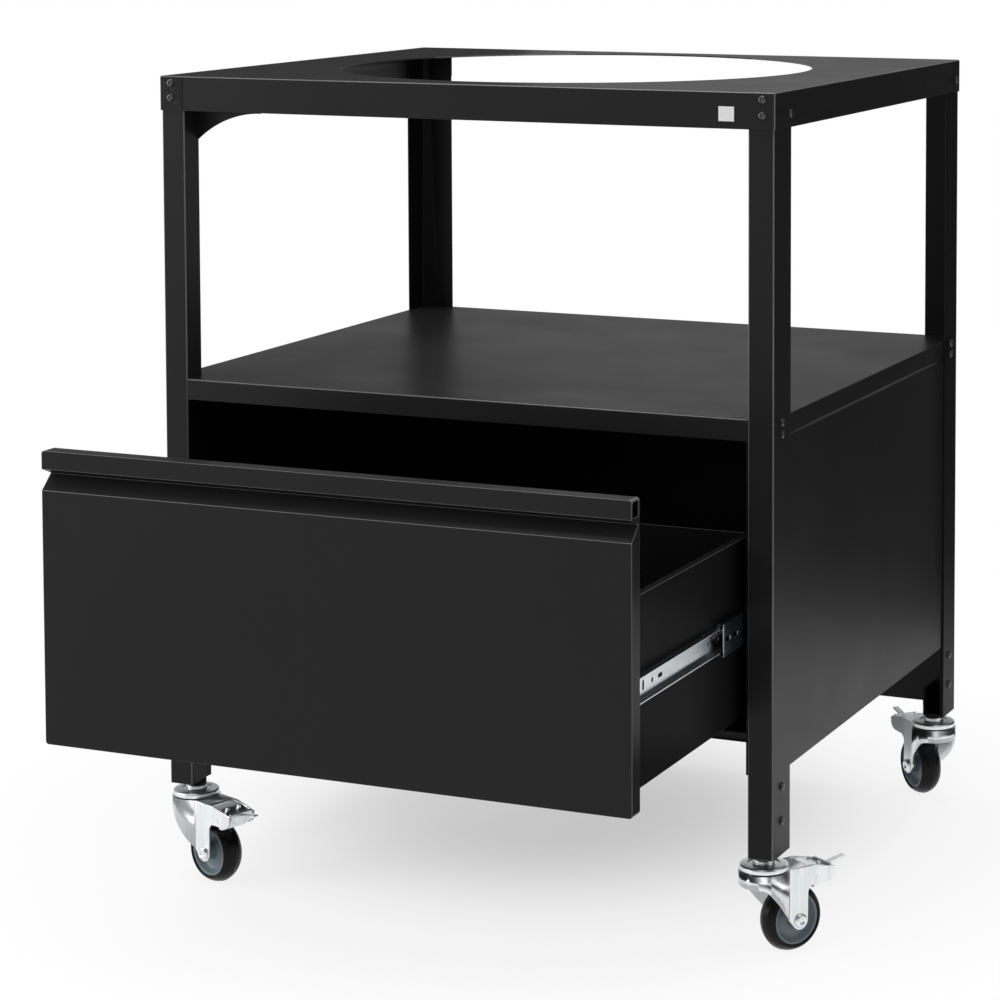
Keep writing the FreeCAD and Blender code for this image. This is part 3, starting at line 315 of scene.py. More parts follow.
def zinc_plate(name, color, roughness, stretch=(1.0, 1.0, 1.0), darker_streak_stretch=(1.0, 1.0, 0.10)):
    """Bright zinc plate with its cloudy passivation, fine drawing marks and broad darker streaks."""
    finish = Finish(name, color, roughness, metallic=1.0)
    grain = finish.apply(sprayed_grain, Peel_per_metre=350.0, Clouds_per_metre=40.0)
    streaks = finish.apply(drawn_streaks, Stretch=stretch, Streaks_per_metre=300.0)
    light_and_rub = finish.apply(edge_light_and_rub, Reach=0.0006, Breaks_per_metre=240.0)
    darker_streaks = finish.apply(drawn_streaks, Stretch=darker_streak_stretch, Streaks_per_metre=75.0)
    finish.tint(darker_streaks.outputs["Streaks"], tuple(0.50 * part for part in color), 0.7, 0.42, 0.72)
    finish.tint(grain.outputs["Clouds"], tuple(0.80 * part for part in color), 0.6)
    finish.tint(streaks.outputs["Streaks"], tuple(min(1.05 * part, 1.0) for part in color), 0.4)
    finish.tint(light_and_rub.outputs["Light and rub"], (0.95, 0.96, 0.97), 0.6)
    finish.roughen(streaks.outputs["Streaks"], roughness - 0.03, roughness + 0.05)
    finish.emboss(streaks.outputs["Streaks"], 0.00001, 0.2)
    return finish.material


def moulded_hub():
    """Blue grey plastic of the wheel's hub."""
    finish = Finish("moulded hub", (0.13, 0.175, 0.205), 0.34, specular=0.6)
    grain = finish.apply(sprayed_grain, Peel_per_metre=1400.0, Clouds_per_metre=70.0)
    light_and_rub = finish.apply(edge_light_and_rub, Reach=0.0008)
    finish.tint(grain.outputs["Clouds"], (0.24, 0.30, 0.34), 0.7)
    finish.tint(light_and_rub.outputs["Light and rub"], (0.45, 0.50, 0.53), 0.7)
    finish.roughen(grain.outputs["Clouds"], 0.28, 0.44)
    finish.emboss(grain.outputs["Peel"], 0.00003, 0.5)
    return finish.material


def painted_rim_highlight():
    """A bright ring where the hub's rim meets the tyre, painted in as the highlight on the rim's rounding."""
    finish = Finish("bright rim", (0.78, 0.82, 0.84), 0.3, metallic=0.8)
    grain = finish.apply(sprayed_grain, Peel_per_metre=1400.0, Clouds_per_metre=90.0)
    finish.tint(grain.outputs["Clouds"], (0.90, 0.92, 0.93), 0.8)
    finish.emboss(grain.outputs["Peel"], 0.00003, 0.3)
    return finish.material


def tyre_rubber():
    """Black rubber with a soft shine."""
    finish = Finish("tyre rubber", (0.0022, 0.0020, 0.0021), 0.28, specular=0.16)
    grain = finish.apply(sprayed_grain, Peel_per_metre=900.0, Clouds_per_metre=60.0)
    light_and_rub = finish.apply(edge_light_and_rub, Reach=0.0012)
    finish.tint(grain.outputs["Clouds"], (0.0065, 0.0055, 0.0052), 0.8)
    finish.tint(light_and_rub.outputs["Light and rub"], (0.030, 0.028, 0.027), 0.4)
    finish.roughen(grain.outputs["Clouds"], 0.22, 0.36)
    finish.emboss(grain.outputs["Peel"], 0.00005, 0.4)
    return finish.material


def blackened_screw():
    """Blackened steel of the screw heads, its edges lightened as painted highlight and rub."""
    finish = Finish("blackened screw", (0.035, 0.035, 0.037), 0.24, metallic=0.5, specular=0.8)
    grain = finish.apply(sprayed_grain, Peel_per_metre=1800.0, Clouds_per_metre=160.0)
    light_and_rub = finish.apply(edge_light_and_rub, Reach=0.0006, Breaks_per_metre=400.0)
    finish.tint(grain.outputs["Clouds"], (0.07, 0.069, 0.067), 0.7)
    finish.tint(light_and_rub.outputs["Light and rub"], (0.55, 0.55, 0.55), 0.7)
    finish.roughen(grain.outputs["Clouds"], 0.16, 0.30)
    finish.emboss(grain.outputs["Peel"], 0.00003, 0.4)
    return finish.material


def brushed_blank():
    """Brushed metal of the blank plate on the skirt."""
    finish = Finish("brushed blank plate", (0.72, 0.72, 0.72), 0.3, metallic=1.0)
    streaks = finish.apply(drawn_streaks, Stretch=(0.06, 1.0, 1.0), Streaks_per_metre=1500.0)
    grain = finish.apply(sprayed_grain, Peel_per_metre=2500.0, Clouds_per_metre=120.0)
    finish.tint(streaks.outputs["Streaks"], (0.95, 0.95, 0.95), 0.8)
    finish.tint(grain.outputs["Clouds"], (0.60, 0.60, 0.61), 0.4)
    finish.roughen(streaks.outputs["Streaks"], 0.22, 0.42)
    finish.emboss(streaks.outputs["Streaks"], 0.00003, 0.6)
    return finish.material


coat = powder_coat("black powder coat", (0.0130, 0.0130, 0.0133), 0.36, 0.02)
# Painted highlight: a lighter coat on the rounds and the middle of the folds stands in for the light lines
# along them.
painted_highlight_coat = powder_coat("black coat lightened on edges as painted highlight", (0.12, 0.12, 0.123), 0.34, 0.02, specular=0.5)
coat_box = powder_coat("matt black coat of the drawer box", (0.0070, 0.0070, 0.0072), 0.50, 0.01,
                       specular=0.05)
# Painted shade: a darker coat for the rear posts' faces, the cabinet's and drawer's insides, the foot
# brackets and the stems inside the posts, where shade falls.
painted_shade_coat = powder_coat("black powder coat darkened as painted shade", (0.0040, 0.0040, 0.0041), 0.46, 0.01)
slide_zinc = zinc_plate("slide zinc", (0.76, 0.80, 0.83), 0.24, (1.0, 0.03, 1.0), (1.0, 0.10, 1.0))
# Painted shade: darker zinc for the middle and cabinet members, which sit in shade inside the slides.
shaded_slide_zinc = zinc_plate("slide zinc darkened as painted shade", (0.20, 0.22, 0.24), 0.24, (1.0, 0.03, 1.0), (1.0, 0.10, 1.0))
castor_zinc = zinc_plate("castor zinc", (0.90, 0.92, 0.93), 0.32)
ball_steel = zinc_plate("ball steel", (0.70, 0.70, 0.72), 0.14)
hub = moulded_hub()
rim_highlight = painted_rim_highlight()
rubber = tyre_rubber()
black_screw = blackened_screw()
blank_plate = brushed_blank()


# Pieces

def dress(thing, *materials):
    """Give an object these materials in its slots."""
    thing.data.materials.clear()
    for material in materials:
        thing.data.materials.append(material)


def settle(piece, body, slot, *replaced):
    """Let a piece ride and let it stand for its CAD nodes; slot is not used."""
    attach(piece, body)
    if replaced:
        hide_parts(*replaced)
    return piece


def linked(name, mesh):
    """A new object for a mesh, in the scene."""
    piece = bpy.data.objects.new(name, mesh)
    scene.collection.objects.link(piece)
    return piece


def baked(piece):
    """Turn an object with modifiers into a plain mesh."""
    graph = bpy.context.evaluated_depsgraph_get()
    graph.update()
    mesh = bpy.data.meshes.new_from_object(piece.evaluated_get(graph), preserve_all_data_layers=True,
                                           depsgraph=graph)
    piece.modifiers.clear()
    piece.data = mesh
    return piece


def drill(spot, half_length, radius, stretch=0.0, rise=0.0):
    """A throwaway cutter along X: round, or a slot stretched along Y or up."""
    mesh = bpy.data.meshes.new("cutter")
    shape = bmesh.new()
    steps = 24
    rings = []
    for side in (-1, 1):
        ring = []
        for step in range(steps):
            angle = 2 * math.pi * (step + 0.5) / steps
            along = radius * math.cos(angle) + math.copysign(stretch / 2, math.cos(angle))
            up = radius * math.sin(angle) + math.copysign(rise / 2, math.sin(angle))
            ring.append(shape.verts.new((spot[0] + side * half_length, spot[1] + along, spot[2] + up)))
        rings.append(ring)
    shape.faces.new(rings[0])
    shape.faces.new(list(reversed(rings[1])))
    for step in range(steps):
        after = (step + 1) % steps
        shape.faces.new((rings[0][after], rings[0][step], rings[1][step], rings[1][after]))
    bmesh.ops.recalc_face_normals(shape, faces=shape.faces)
    shape.to_mesh(mesh)
    shape.free()
    return linked("cutter", mesh)


def prism(points, low, high, lay):
    """A closed outline in two axes, drawn out from low to high along the third.

    lay turns (first, second, along) into a point.
    """
    mesh = bpy.data.meshes.new("prism")
    shape = bmesh.new()
    rings = [[shape.verts.new(lay(first, second, along)) for first, second in points]
             for along in (low, high)]
    shape.faces.new(rings[0])
    shape.faces.new(list(reversed(rings[1])))
    for index in range(len(points)):
        after = (index + 1) % len(points)
        shape.faces.new((rings[0][after], rings[0][index], rings[1][index], rings[1][after]))
    bmesh.ops.recalc_face_normals(shape, faces=shape.faces)
    shape.to_mesh(mesh)
    shape.free()
    return linked("prism", mesh)


def merged(name, solids, place):
    """One piece from solids that run into each other."""
    piece, rest = solids[0], solids[1:]
    piece.name = name
    for solid in rest:
        union = piece.modifiers.new("union", "BOOLEAN")
        union.operation = "UNION"
        union.solver = "EXACT"
        union.object = solid
    baked(piece)
    for solid in rest:
        bpy.data.objects.remove(solid)
    piece.data.transform(place)
    piece.data.name = name
    return piece


def arc(middle, radius, start, end, steps=10):
    """Points on an arc, angles in degrees."""
    return [(middle[0] + radius * math.cos(math.radians(start + (end - start) * step / steps)),
             middle[1] + radius * math.sin(math.radians(start + (end - start) * step / steps)))
            for step in range(steps + 1)]


def folded(node, name, body, slot, materials, width, steps=2, sharper_than=50, cutters=(), eased=None,
           clamped=True, joined=True):
    """The CAD solid again with cut-outs and softly rounded sheet edges.

    The last of the materials covers the rounds and the middle of the folds. eased is (test, radius):
    edges between two ends that pass the test get that wider round first. joined merges flat facets.
    A clamped piece with rounds wide enough to see gets them on its long outer folds only.
    """
    piece = linked(name, nodes[node].data.copy())
    dress(piece, *materials)
    mesh = piece.data
    shape = bmesh.new()
    shape.from_mesh(mesh)
    bmesh.ops.remove_doubles(shape, verts=shape.verts, dist=0.000002)
    if joined:
        bmesh.ops.dissolve_limit(shape, angle_limit=math.radians(0.4), verts=shape.verts, edges=shape.edges)
    if eased:
        chosen = [edge for edge in shape.edges if eased[0](edge.verts[0].co, edge.verts[1].co)]
        bmesh.ops.bevel(shape, geom=chosen, offset=eased[1], offset_type="OFFSET", segments=5, profile=0.5,
                        affect="EDGES", clamp_overlap=True, material=len(materials) - 1)
    for face in shape.faces:
        steepest, next_steepest = sorted((abs(part) for part in face.normal), reverse=True)[:2]
        longest = max(edge.calc_length() for edge in face.edges)
        if steepest - next_steepest < FOLD_SLANT and face.calc_area() < longest * FOLD_STRIP:
            face.material_index = len(materials) - 1
    if clamped and width >= EDGE_SEEN:
        weight = shape.edges.layers.float.new("bevel_weight_edge")
        for edge in shape.edges:
            length = edge.calc_length()
            sharp = edge.is_convex and edge.calc_face_angle(0) > math.radians(sharper_than)
            if length > LONG_EDGE and sharp:
                narrowest = min(face.calc_area() for face in edge.link_faces)
                edge[weight] = 1.0 if narrowest > length * WIDE_FACE else 0.0
    shape.to_mesh(mesh)
    shape.free()
    return rounded(piece, width, steps, sharper_than, cutters, body, slot, node, clamped)


def rounded(piece, width, steps, sharper_than, cutters, body, slot, node, clamped=True):
    """Cut a piece, round its sharp edges and let it stand for its CAD node.

    Clamped rounds stay narrower than the shortest edge beside them, unless folded() has marked the
    edges to round. Rounds that look down take the plain coat, as no light catches them.
    """
    for cutter in cutters:
        cut = piece.modifiers.new("cut", "BOOLEAN")
        cut.operation = "DIFFERENCE"
        cut.solver = "EXACT"
        cut.object = cutter
    weld = piece.modifiers.new("weld", "WELD")
    weld.merge_threshold = WELD_REACH
    bevel = piece.modifiers.new("edges", "BEVEL")
    bevel.width = width
    bevel.segments = steps
    bevel.limit_method = "ANGLE"
    bevel.angle_limit = math.radians(sharper_than)
    bevel.use_clamp_overlap = clamped
    if "bevel_weight_edge" in piece.data.attributes:
        bevel.limit_method = "WEIGHT"
        bevel.use_clamp_overlap = False
    bevel.miter_outer = "MITER_ARC"
    bevel.material = len(piece.data.materials) - 1
    weighted = piece.modifiers.new("normals", "WEIGHTED_NORMAL")
    weighted.keep_sharp = True
    weighted.weight = 80
    for face in piece.data.polygons:
        face.use_smooth = True
    baked(piece)
    for face in piece.data.polygons:
        if face.normal.z < LOOKS_DOWN and piece.data.materials[face.material_index] == painted_highlight_coat:
            face.material_index = 0
    for cutter in cutters:
        bpy.data.objects.remove(cutter)
    return settle(piece, body, slot, node)


def lathed(name, profile, place, materials, bands=(), steps=96):
    """Turn an outline of (along the axis, radius) about the Y axis of its place.

    A band is (first, last, slot): the faces from one outline point to another take that slot.
    """
    mesh = bpy.data.meshes.new(name)
    shape = bmesh.new()
    rings = []
    for along, radius in profile:
        rings.append([shape.verts.new((radius * math.cos(2 * math.pi * step / steps), along,
                                       radius * math.sin(2 * math.pi * step / steps)))
                      for step in range(steps)])
    count = len(profile)
    for index in range(count):
        after = (index + 1) % count
        slot = 0
        for first, last, number in bands:
            if first <= index < last:
                slot = number
        for step in range(steps):
            beside = (step + 1) % steps
            face = shape.faces.new((rings[index][step], rings[index][beside],
                                    rings[after][beside], rings[after][step]))
            face.material_index = slot
            face.smooth = True
    bmesh.ops.recalc_face_normals(shape, faces=shape.faces)
    shape.to_mesh(mesh)
    shape.free()
    mesh.set_sharp_from_angle(angle=math.radians(38))
    piece = linked(name, mesh)
    piece.matrix_world = place
    dress(piece, *materials)
    return piece


def mirrored(half):
    """Both halves of an outline whose first half is given on the + side."""
    return half + [(-along, radius) for along, radius in reversed(half)]


# Screws

def button_head(shape, seat, facing):
    """A domed head with a hexagon socket."""
    turn = Vector((0, 0, 1)).rotation_difference(Vector(facing)).to_matrix().to_4x4()
    place = Matrix.Translation(Vector(seat)) @ turn
    steps = 24
    outline = [(4.75, 0.0), (4.8, 0.35), (4.6, 1.1), (4.05, 1.75), (3.3, 2.25), (2.5, 2.5)]
    rings = [[place @ Vector((radius * MM * math.cos(2 * math.pi * step / steps),
                              radius * MM * math.sin(2 * math.pi * step / steps), rise * MM))
              for step in range(steps)] for radius, rise in outline]
    for depth, scale in ((2.45, 1.0), (0.9, 0.94)):
        ring = []
        for step in range(steps):
            angle = 2 * math.pi * step / steps
            corner = 1.55 * scale / math.cos((angle % (math.pi / 3)) - math.pi / 6)
            ring.append(place @ Vector((corner * MM * math.cos(angle), corner * MM * math.sin(angle),
                                        depth * MM)))
        rings.append(ring)
    rows = [[shape.verts.new(spot) for spot in ring] for ring in rings]
    for low, high in zip(rows, rows[1:]):
        for step in range(steps):
            beside = (step + 1) % steps
            face = shape.faces.new((low[step], low[beside], high[beside], high[step]))
            face.smooth = True
    shape.faces.new(rows[-1])
    shape.faces.new(list(reversed(rows[0])))


def screw_group(name, seats):
    """One piece with a head on each seat, for one node of screws."""
    mesh = bpy.data.meshes.new(name)
    shape = bmesh.new()
    for seat, facing in seats:
        button_head(shape, seat, facing)
    bmesh.ops.recalc_face_normals(shape, faces=shape.faces)
    shape.to_mesh(mesh)
    shape.free()
    mesh.set_sharp_from_angle(angle=math.radians(40))
    piece = linked(name + "_heads", mesh)
    dress(piece, black_screw)
    return settle(piece, "table", "black_screw", name)


def make_screws():
    """Heads on the screws of the top, the shelf and the feet."""
    top, shelf, foot = [], [], []
    for side in (-1, 1):
        out = (side, 0, 0)
        for depth in TOP_SCREW_DEPTHS:
            for end in (-1, 1):
                seat = (side * (TABLE_WIDTH / 2 - TOP_SCREW_INSET), end * (TABLE_DEPTH / 2 + TOP_SHEET),
                        TABLE_HEIGHT - depth)
                top.append((seat, (0, end, 0)))
        for along in (SIDE_SCREW_FRONT - TABLE_DEPTH / 2, TABLE_DEPTH / 2 - SIDE_SCREW_REAR):
            seat = (side * (TABLE_WIDTH / 2 + TOP_SHEET), along, TABLE_HEIGHT - TOP_SCREW_DEPTHS[1])
            top.append((seat, out))
        for end in (-1, 1):
            along = end * (TABLE_DEPTH / 2 - POST_SCREW_INSET)
            for depth in SHELF_SCREW_DEPTHS:
                shelf.append(((side * TABLE_WIDTH / 2, along, SHELF_LEVEL - depth), out))
            for rise in FOOT_SCREW_RISES:
                foot.append(((side * TABLE_WIDTH / 2, along, FOOT_HEIGHT + rise), out))
    screw_group("top_screws", top)
    screw_group("shelf_screws", shelf)
    screw_group("foot_screws", foot)


# Sheet work and drawer

def front_corner(first, second):
    """The upper and lower corners at both ends of the drawer front."""
    at_one_end = abs(first.x - second.x) < SAME_SPOT and abs(first.x) > DRAWER_HALF - SAME_SPOT
    return at_one_end and any(all(abs(spot.z - level) < SAME_SPOT for spot in (first, second))
                              for level in (DRAWER_LOW, DRAWER_TOP))


def make_sheets():
    """The frame, the cabinet and the drawer, with rounds in five widths."""
    hair, fine, slim, thin, wide = 0.0002, 0.0003, 0.00035, 0.0005, 0.0009
    # The rounds and fold middles take the coat lightened as painted highlight.
    outer = (coat, painted_highlight_coat)
    folded("top_panel", "top_sheet", "table", "black_coat", outer, thin, joined=False)
    folded("shelf", "shelf_sheet", "table", "black_coat", outer, wide, 3)
    for node in ("post_front_left", "post_front_right"):
        folded(node, node + "_sheet", "table", "black_coat", outer, thin)
    # Rear posts: painted shade coat on their faces, plain coat on their rounds.
    for node in ("post_rear_left", "post_rear_right"):
        folded(node, node + "_sheet", "table", "black_coat", (painted_shade_coat, coat), thin)
    for node in ("corner_gusset", "side_panel_left", "side_panel_right", "back_panel"):
        folded(node, node + "_sheet", "table", "black_coat", outer, slim)
    for node in ("inner_panel_left", "inner_panel_right", "cabinet_floor"):
        folded(node, node + "_sheet", "table", "black_coat", (painted_shade_coat,), slim)
    folded("badge_plate", "blank_badge", "table", "badge_metal", (blank_plate,), fine)
    openings = [drill((side * DRAWER_HALF, *BAR_OPENING), 0.004, 0.003, 0.008, 0.010) for side in (-1, 1)]
    folded("drawer_front", "drawer_front_sheet", "drawer", "black_coat", outer, 0.0004, 3, sharper_than=30,
           cutters=openings, eased=(front_corner, 0.0035), clamped=False)
    for node in ("drawer_side_left", "drawer_side_right", "drawer_back"):
        folded(node, node + "_sheet", "drawer", "black_coat", (coat_box, painted_highlight_coat), fine)
    for node in ("drawer_liner", "drawer_bottom"):
        folded(node, node + "_sheet", "drawer", "black_coat", (painted_shade_coat,), hair)


# Slides

def punches(web, front, slots):
    """Cutters for the slots in a slide member's web."""
    return [drill((web, front + along, SLIDE_LEVEL), SLOT_DEPTH, radius, stretch, rise)
            for along, radius, stretch, rise in slots]


def make_slides():
    """The three members of each slide; the ball strips keep their CAD form."""
    for side, tag in ((-1, "left"), (1, "right")):
        web = side * (TABLE_WIDTH / 2 - WALL_FACE - DRAWER_WEB)
        cutters = punches(web, SLIDE_FRONT - DRAWER_OUT, DRAWER_SLOTS)
        folded("slide_drawer_" + tag, "drawer_member_" + tag, "drawer", "zinc", (slide_zinc,), 0.0002,
               cutters=cutters)
        middle_web = side * (TABLE_WIDTH / 2 - WALL_FACE - MIDDLE_WEB)
        cutters = punches(middle_web, SLIDE_FRONT - MIDDLE_OUT, MIDDLE_SLOTS)
        folded("slide_middle_" + tag, "middle_member_" + tag, "slide_middle", "zinc",
               (shaded_slide_zinc, slide_zinc), 0.0003, cutters=cutters)
        folded("slide_cabinet_" + tag, "cabinet_member_" + tag, "table", "zinc", (shaded_slide_zinc, slide_zinc),
               0.0002)
        dress(nodes["ball_retainer_" + tag], ball_steel)


# Castors

def make_castors():
    """Four castors, each turned its own way, and the brackets above them."""
    for tag, (side, end, heading) in HEADINGS.items():
        stand = Matrix.Translation((side * (TABLE_WIDTH / 2 - STEM_INSET_X),
                                    end * (TABLE_DEPTH / 2 - STEM_INSET_Y), 0))
        castor = stand @ Matrix.Rotation(math.radians(heading), 4, "Z")
        axle = castor @ Matrix.Translation((TRAIL, 0, WHEEL_RADIUS))
        make_wheel(tag, axle)
        make_axle(tag, axle)
        make_fork(tag, castor)
        make_pedal(tag, castor)
        make_stem(tag)
        folded("foot_bracket_" + tag, "bracket_" + tag, "table", "black_coat", (painted_shade_coat,), 0.0004)


def make_stem(tag):
    """The turned stem: bright zinc below the post, darker inside it with painted shade."""
    stem = folded("castor_stem_" + tag, "stem_" + tag, "table", "zinc", (castor_zinc,), 0.0004, 3)
    stem.data.materials.append(painted_shade_coat)
    for face in stem.data.polygons:
        if face.center.z > FOOT_HEIGHT:
            face.material_index = 1


def make_fork(tag, castor):
    """The pressed fork, with a wide round where its head runs into the legs."""
    back = castor.inverted()

    creases = ((FORK_CREASE, FORK_HALF), (FORK_CREASE_INSIDE, FORK_HALF - FORK_SHEET))
    near = 0.0004

    def at_crease(*ends):
        spots = [back @ end for end in ends]
        return any(all(abs(spot.x - crease) < near and abs(abs(spot.y) - face) < near for spot in spots)
                   for crease, face in creases)

    folded("castor_fork_" + tag, "fork_" + tag, "fork_" + tag, "zinc", (castor_zinc,), 0.0009, 3,
           sharper_than=35, eased=(at_crease, 0.005))


def make_axle(tag, axle):
    """A rivet with rolled, dimpled heads outside the fork's legs."""
    half = [(0.0209, 0.0001), (0.0210, 0.0020), (0.0220, 0.0030), (0.0228, 0.0040), (0.0229, 0.0052),
            (0.0223, 0.0066), (0.0208, 0.0077), (0.0193, 0.0080), (FORK_HALF + 0.0001, 0.0049)]
    rivet = lathed("rivet_" + tag, mirrored(half), axle, (castor_zinc,), steps=48)
    settle(rivet, "fork_" + tag, "zinc", "castor_axle_" + tag)


def make_pedal(tag, castor):
    """The brake pedal: plate, lip, tapered end plate, narrow tongue, lugs, shoe and pin, in mm."""
    def upright(along, level, across):
        return (along * MM, across * MM, level * MM)

    def facing(across, level, along):
        return (along * MM, across * MM, level * MM)

    plate = [(50.5, 92.4), (63.0, 91.9), (81.6, 84.6), (81.6, 86.0), (84.0, 86.0), (84.0, 88.6),
             (83.4, 91.2), (81.6, 92.2), (79.6, 91.8), (78.6, 90.2), (78.4, 88.9), (64.0, 94.4), (50.5, 94.9)]
    shoe = [(58.0, 69.0), (64.0, 69.0), (64.0, 93.0), (58.0, 93.0)]
    end_plate = [(-15.6, 87.4), (-15.6, 85.0), (-5.5, 77.6), (-3.5, 77.0), (3.5, 77.0), (5.5, 77.6),
                 (15.6, 85.0), (15.6, 87.4)]
    tongue = [(82.5, 86.2), (84.5, 86.0), (PEDAL_TIP - 1.2, 91.2)]
    tongue += arc((PEDAL_TIP - 1.5, 92.4), 1.2, -70, 110, 6) + [(84.5, 89.0), (82.5, 88.8)]
    solids = [prism(plate, -15.7, 15.7, upright), prism(shoe, -13.0, 13.0, upright),
              prism(end_plate, 82.0, 84.0, facing), prism(tongue, -3.4, 3.4, upright)]
    for across in (-8.5, 8.5):
        lug = [(66.0, 92.0), (70.0, 90.5), (69.6, 95.4), (67.2, 96.2)]
        solids.append(prism(lug, across - 1.6, across + 1.6, upright))
    solids.append(prism(arc((60.0, 80.0), 3.0, 0, 345, 23), -19.3, 19.3, upright))
    pedal = merged("pedal_" + tag, solids, castor)
    dress(pedal, castor_zinc)
    rounded(pedal, 0.0004, 2, 30, (), "pedal_" + tag, "zinc", "brake_pedal_" + tag)


def make_wheel(tag, axle):
    """The tyre with its mould line and shoulders, and the dished hub with a bright rim ring painted in as
    highlight.
    """
    half = TYRE_WIDTH / 2
    crown = [(0.00025, WHEEL_RADIUS), (0.0008, WHEEL_RADIUS - 0.00035)]
    crown += [(half * share, WHEEL_RADIUS - 0.0004 - 0.0062 * share ** 2.2)
              for share in (0.15, 0.3, 0.45, 0.6, 0.72, 0.82, 0.9, 0.96)]
    crown += [(half - 0.0001, WHEEL_RADIUS - 0.0082), (half, RIM_RADIUS + 0.0022),
              (half - 0.0005, RIM_RADIUS + 0.0012), (RIM_WIDTH / 2 + 0.0004, RIM_RADIUS + 0.0008),
              (RIM_WIDTH / 2, RIM_RADIUS + 0.00005)]
    tyre = lathed("tyre_" + tag, mirrored(crown), axle, (rubber,))
    settle(tyre, "wheel_" + tag, "tyre_black", "castor_tyre_" + tag)
    rim = RIM_WIDTH / 2
    dish = [(BOSS_HALF, AXLE_RADIUS), (BOSS_HALF, AXLE_RADIUS + 0.0035), (0.0062, AXLE_RADIUS + 0.0048),
            (0.0042, AXLE_RADIUS + 0.0075), (0.0037, RIM_RADIUS - 0.0085), (0.0052, RIM_RADIUS - 0.0058),
            (rim - 0.0022, RIM_RADIUS - 0.0036), (rim - 0.0004, RIM_RADIUS - 0.0026),
            (rim, RIM_RADIUS - 0.0019), (rim, RIM_RADIUS - 0.0006), (rim - 0.0004, RIM_RADIUS)]
    outline = mirrored(dish)
    last = len(outline) - 1
    # The bands at each rim take the painted highlight.
    bands = [(7, 10, 1), (last - 10, last - 7, 1)]
    wheel = lathed("hub_" + tag, outline, axle, (hub, rim_highlight), bands)
    settle(wheel, "wheel_" + tag, "hub_grey", "castor_hub_" + tag)


# Camera, light and floor

SHADOW_MIDDLE = (-0.08, 0.10)
SHADOW_FADES = ((0.12, 0.50, 0.50, 0.86), (0.45, 0.88, 0.0, 0.14))
FLAGS = (
    ("right flag", (0.46, 1.15), (1.8, 0.75), 0.0, 2.2, 0.02, 0.0),
    ("rear flag", (-1.6, 0.8), (-0.45, 0.8), 0.93, 2.2, 0.08, 0.0),
    ("low drawer flag", (0.385, -0.36), (0.62, -0.36), 0.10, 0.24, 0.02, 0.0),
    ("high drawer flag", (0.385, -0.36), (0.62, -0.36), 0.38, 0.62, 0.02, 0.0),
    ("low flag", (0.16, 0.33), (0.16, 0.60), 0.0, 0.12, 0.35, 0.0),
    ("low bounce card", (0.08, -0.10), (0.45, -0.10), 0.115, 0.185, 0.8, 0.8),
)


def make_camera():
    """The photograph's view: focal length and middle in pixels of a 1000 x 1000 frame."""
    focal, yaw, pitch = 2985.2, math.radians(22.27), math.radians(4.11)
    middle_x, middle_y = 700.0, 100.0
    forward = Vector((-math.sin(yaw) * math.cos(pitch), math.cos(yaw) * math.cos(pitch), -math.sin(pitch)))
    right = Vector((math.cos(yaw), math.sin(yaw), 0))
    up = right.cross(forward)
    data = bpy.data.cameras.new("camera")
    data.sensor_width = 36.0
    data.lens = focal * 36.0 / 1000
    data.shift_x = (500 - middle_x) / 1000
    data.shift_y = (middle_y - 500) / 1000
    camera = bpy.data.objects.new("camera", data)
    camera.matrix_world = Matrix.Translation((1.50654, -3.28653, 1.16975)) @ Matrix(
        (right, up, -forward)).transposed().to_4x4()
    scene.collection.objects.link(camera)
    scene.camera = camera


def softbox(name, spot, target, size, brightness):
    """A round lamp that looks this bright from the front."""
    data = bpy.data.lights.new(name, "AREA")
    data.shape = "DISK"
    data.size = size
    data.energy = brightness * math.pi * math.pi * (size / 2) ** 2
    light = bpy.data.objects.new(name, data)
    light.location = spot
    light.rotation_euler = (Vector(target) - Vector(spot)).to_track_quat("-Z", "Y").to_euler()
    scene.collection.objects.link(light)


def flag(name, start, end, bottom, top, grey, glow):
    """An upright card beside the set that only reflections see; glow is what it gives off."""
    mesh = bpy.data.meshes.new(name)
    mesh.from_pydata([(*start, bottom), (*end, bottom), (*end, top), (*start, top)], [], [(0, 1, 2, 3)])
    card = linked(name, mesh)
    finish = Finish(name + " cloth", (grey, grey, grey), 0.9, specular=0.1)
    finish.shader.inputs["Emission Color"].default_value = (1, 1, 1, 1)
    finish.shader.inputs["Emission Strength"].default_value = glow
    dress(card, finish.material)
    card.visible_camera = False
    card.visible_diffuse = False
    card.visible_shadow = False


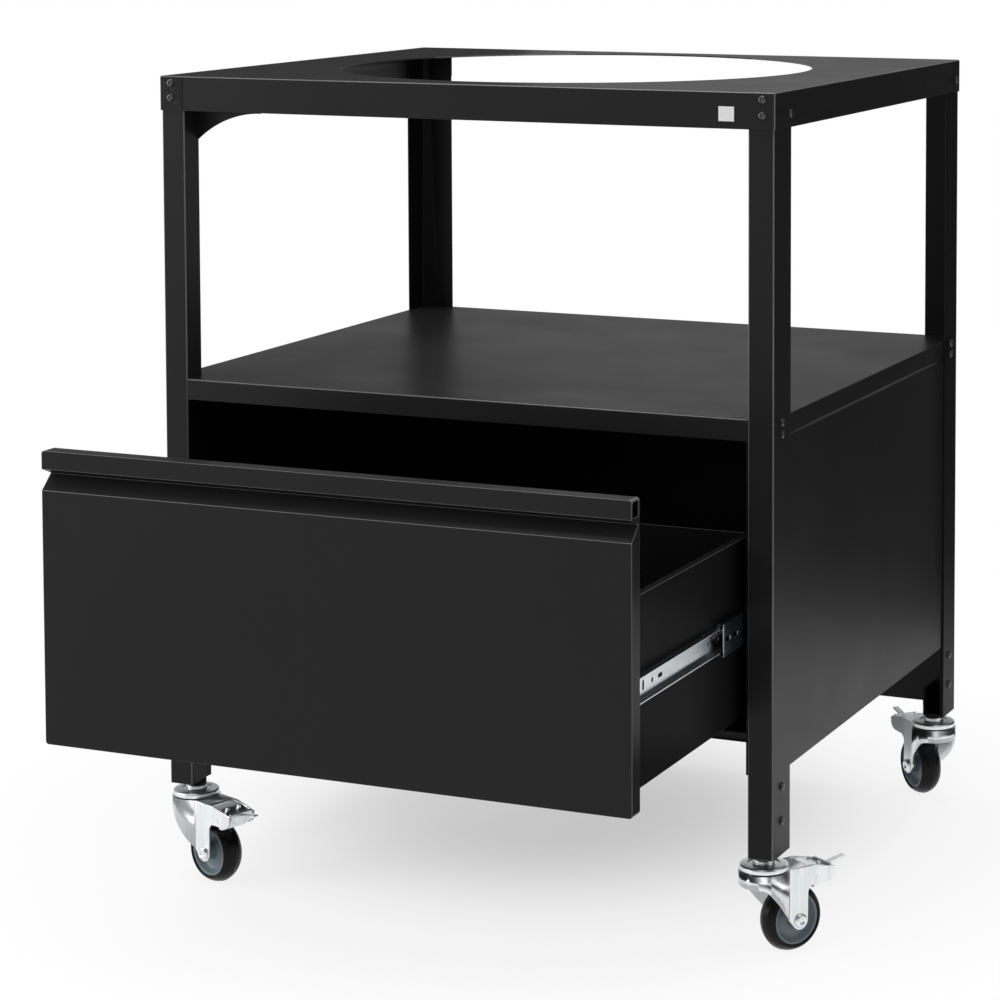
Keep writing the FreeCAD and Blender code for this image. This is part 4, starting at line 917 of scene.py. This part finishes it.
def make_floor():
    """A wide pale floor: it takes the shadow near the table and is plain white beyond."""
    mesh = bpy.data.meshes.new("floor")
    reach = 80.0
    mesh.from_pydata([(-reach, -reach, 0), (reach, -reach, 0), (reach, reach, 0), (-reach, reach, 0)],
                     [], [(0, 1, 2, 3)])
    floor = linked("floor", mesh)
    finish = Finish("pale floor", (0.88, 0.88, 0.88), 0.7, specular=0.1)
    grain = finish.apply(sprayed_grain, Peel_per_metre=160.0, Clouds_per_metre=1.1)
    finish.tint(grain.outputs["Clouds"], (0.91, 0.91, 0.91), 1.0)
    tree = finish.tree
    under = add(tree, "ShaderNodeVectorMath", operation="SUBTRACT")
    under.inputs[1].default_value = (*SHADOW_MIDDLE, 0.0)
    reach_out = add(tree, "ShaderNodeVectorMath", operation="LENGTH")
    tree.links.new(finish.place, under.inputs[0])
    tree.links.new(under.outputs["Vector"], reach_out.inputs[0])
    shares = []
    for start, end, low, high in SHADOW_FADES:
        fade = add(tree, "ShaderNodeMapRange", interpolation_type="SMOOTHSTEP", From_Min=start, From_Max=end,
                   To_Min=low, To_Max=high)
        tree.links.new(reach_out.outputs["Value"], fade.inputs["Value"])
        shares.append(fade.outputs["Result"])
    far = add(tree, "ShaderNodeMath", operation="ADD", use_clamp=True)
    tree.links.new(shares[0], far.inputs[0])
    tree.links.new(shares[1], far.inputs[1])
    path = add(tree, "ShaderNodeLightPath")
    seen = path.outputs["Is Camera Ray"]
    for kind in ("Is Glossy Ray", "Is Transmission Ray"):
        both = add(tree, "ShaderNodeMath", operation="MAXIMUM")
        tree.links.new(seen, both.inputs[0])
        tree.links.new(path.outputs[kind], both.inputs[1])
        seen = both.outputs["Value"]
    share = add(tree, "ShaderNodeMath", operation="MULTIPLY")
    tree.links.new(seen, share.inputs[0])
    tree.links.new(far.outputs["Value"], share.inputs[1])
    white = add(tree, "ShaderNodeEmission", Strength=1.0)
    mix = add(tree, "ShaderNodeMixShader")
    output = next(node for node in tree.nodes if node.type == "OUTPUT_MATERIAL")
    tree.links.new(share.outputs["Value"], mix.inputs["Fac"])
    tree.links.new(finish.shader.outputs["BSDF"], mix.inputs[1])
    tree.links.new(white.outputs["Emission"], mix.inputs[2])
    tree.links.new(mix.outputs["Shader"], output.inputs["Surface"])
    dress(floor, finish.material)


def make_studio():
    """Even white surroundings, three softboxes, the cards and the floor."""
    world = bpy.data.worlds.new("studio")
    scene.world = world
    world.use_nodes = True
    tree = world.node_tree
    tree.nodes.clear()
    around = add(tree, "ShaderNodeBackground", Strength=0.42)
    around.inputs["Color"].default_value = (1, 1, 1, 1)
    output = add(tree, "ShaderNodeOutputWorld")
    tree.links.new(around.outputs["Background"], output.inputs["Surface"])
    softbox("left softbox", (-3.0, -2.2, 1.5), (0, 0, 0.4), 2.4, 3.8)
    softbox("right softbox", (3.6, -0.6, 1.3), (0, 0, 0.3), 2.2, 0.6)
    softbox("top softbox", (-0.2, -0.3, 3.6), (0, 0, 0), 2.6, 4.3)
    for card in FLAGS:
        flag(*card)
    make_floor()


make_sheets()
make_screws()
make_slides()
make_castors()
make_camera()
make_studio()

scene.view_settings.view_transform = "Standard"
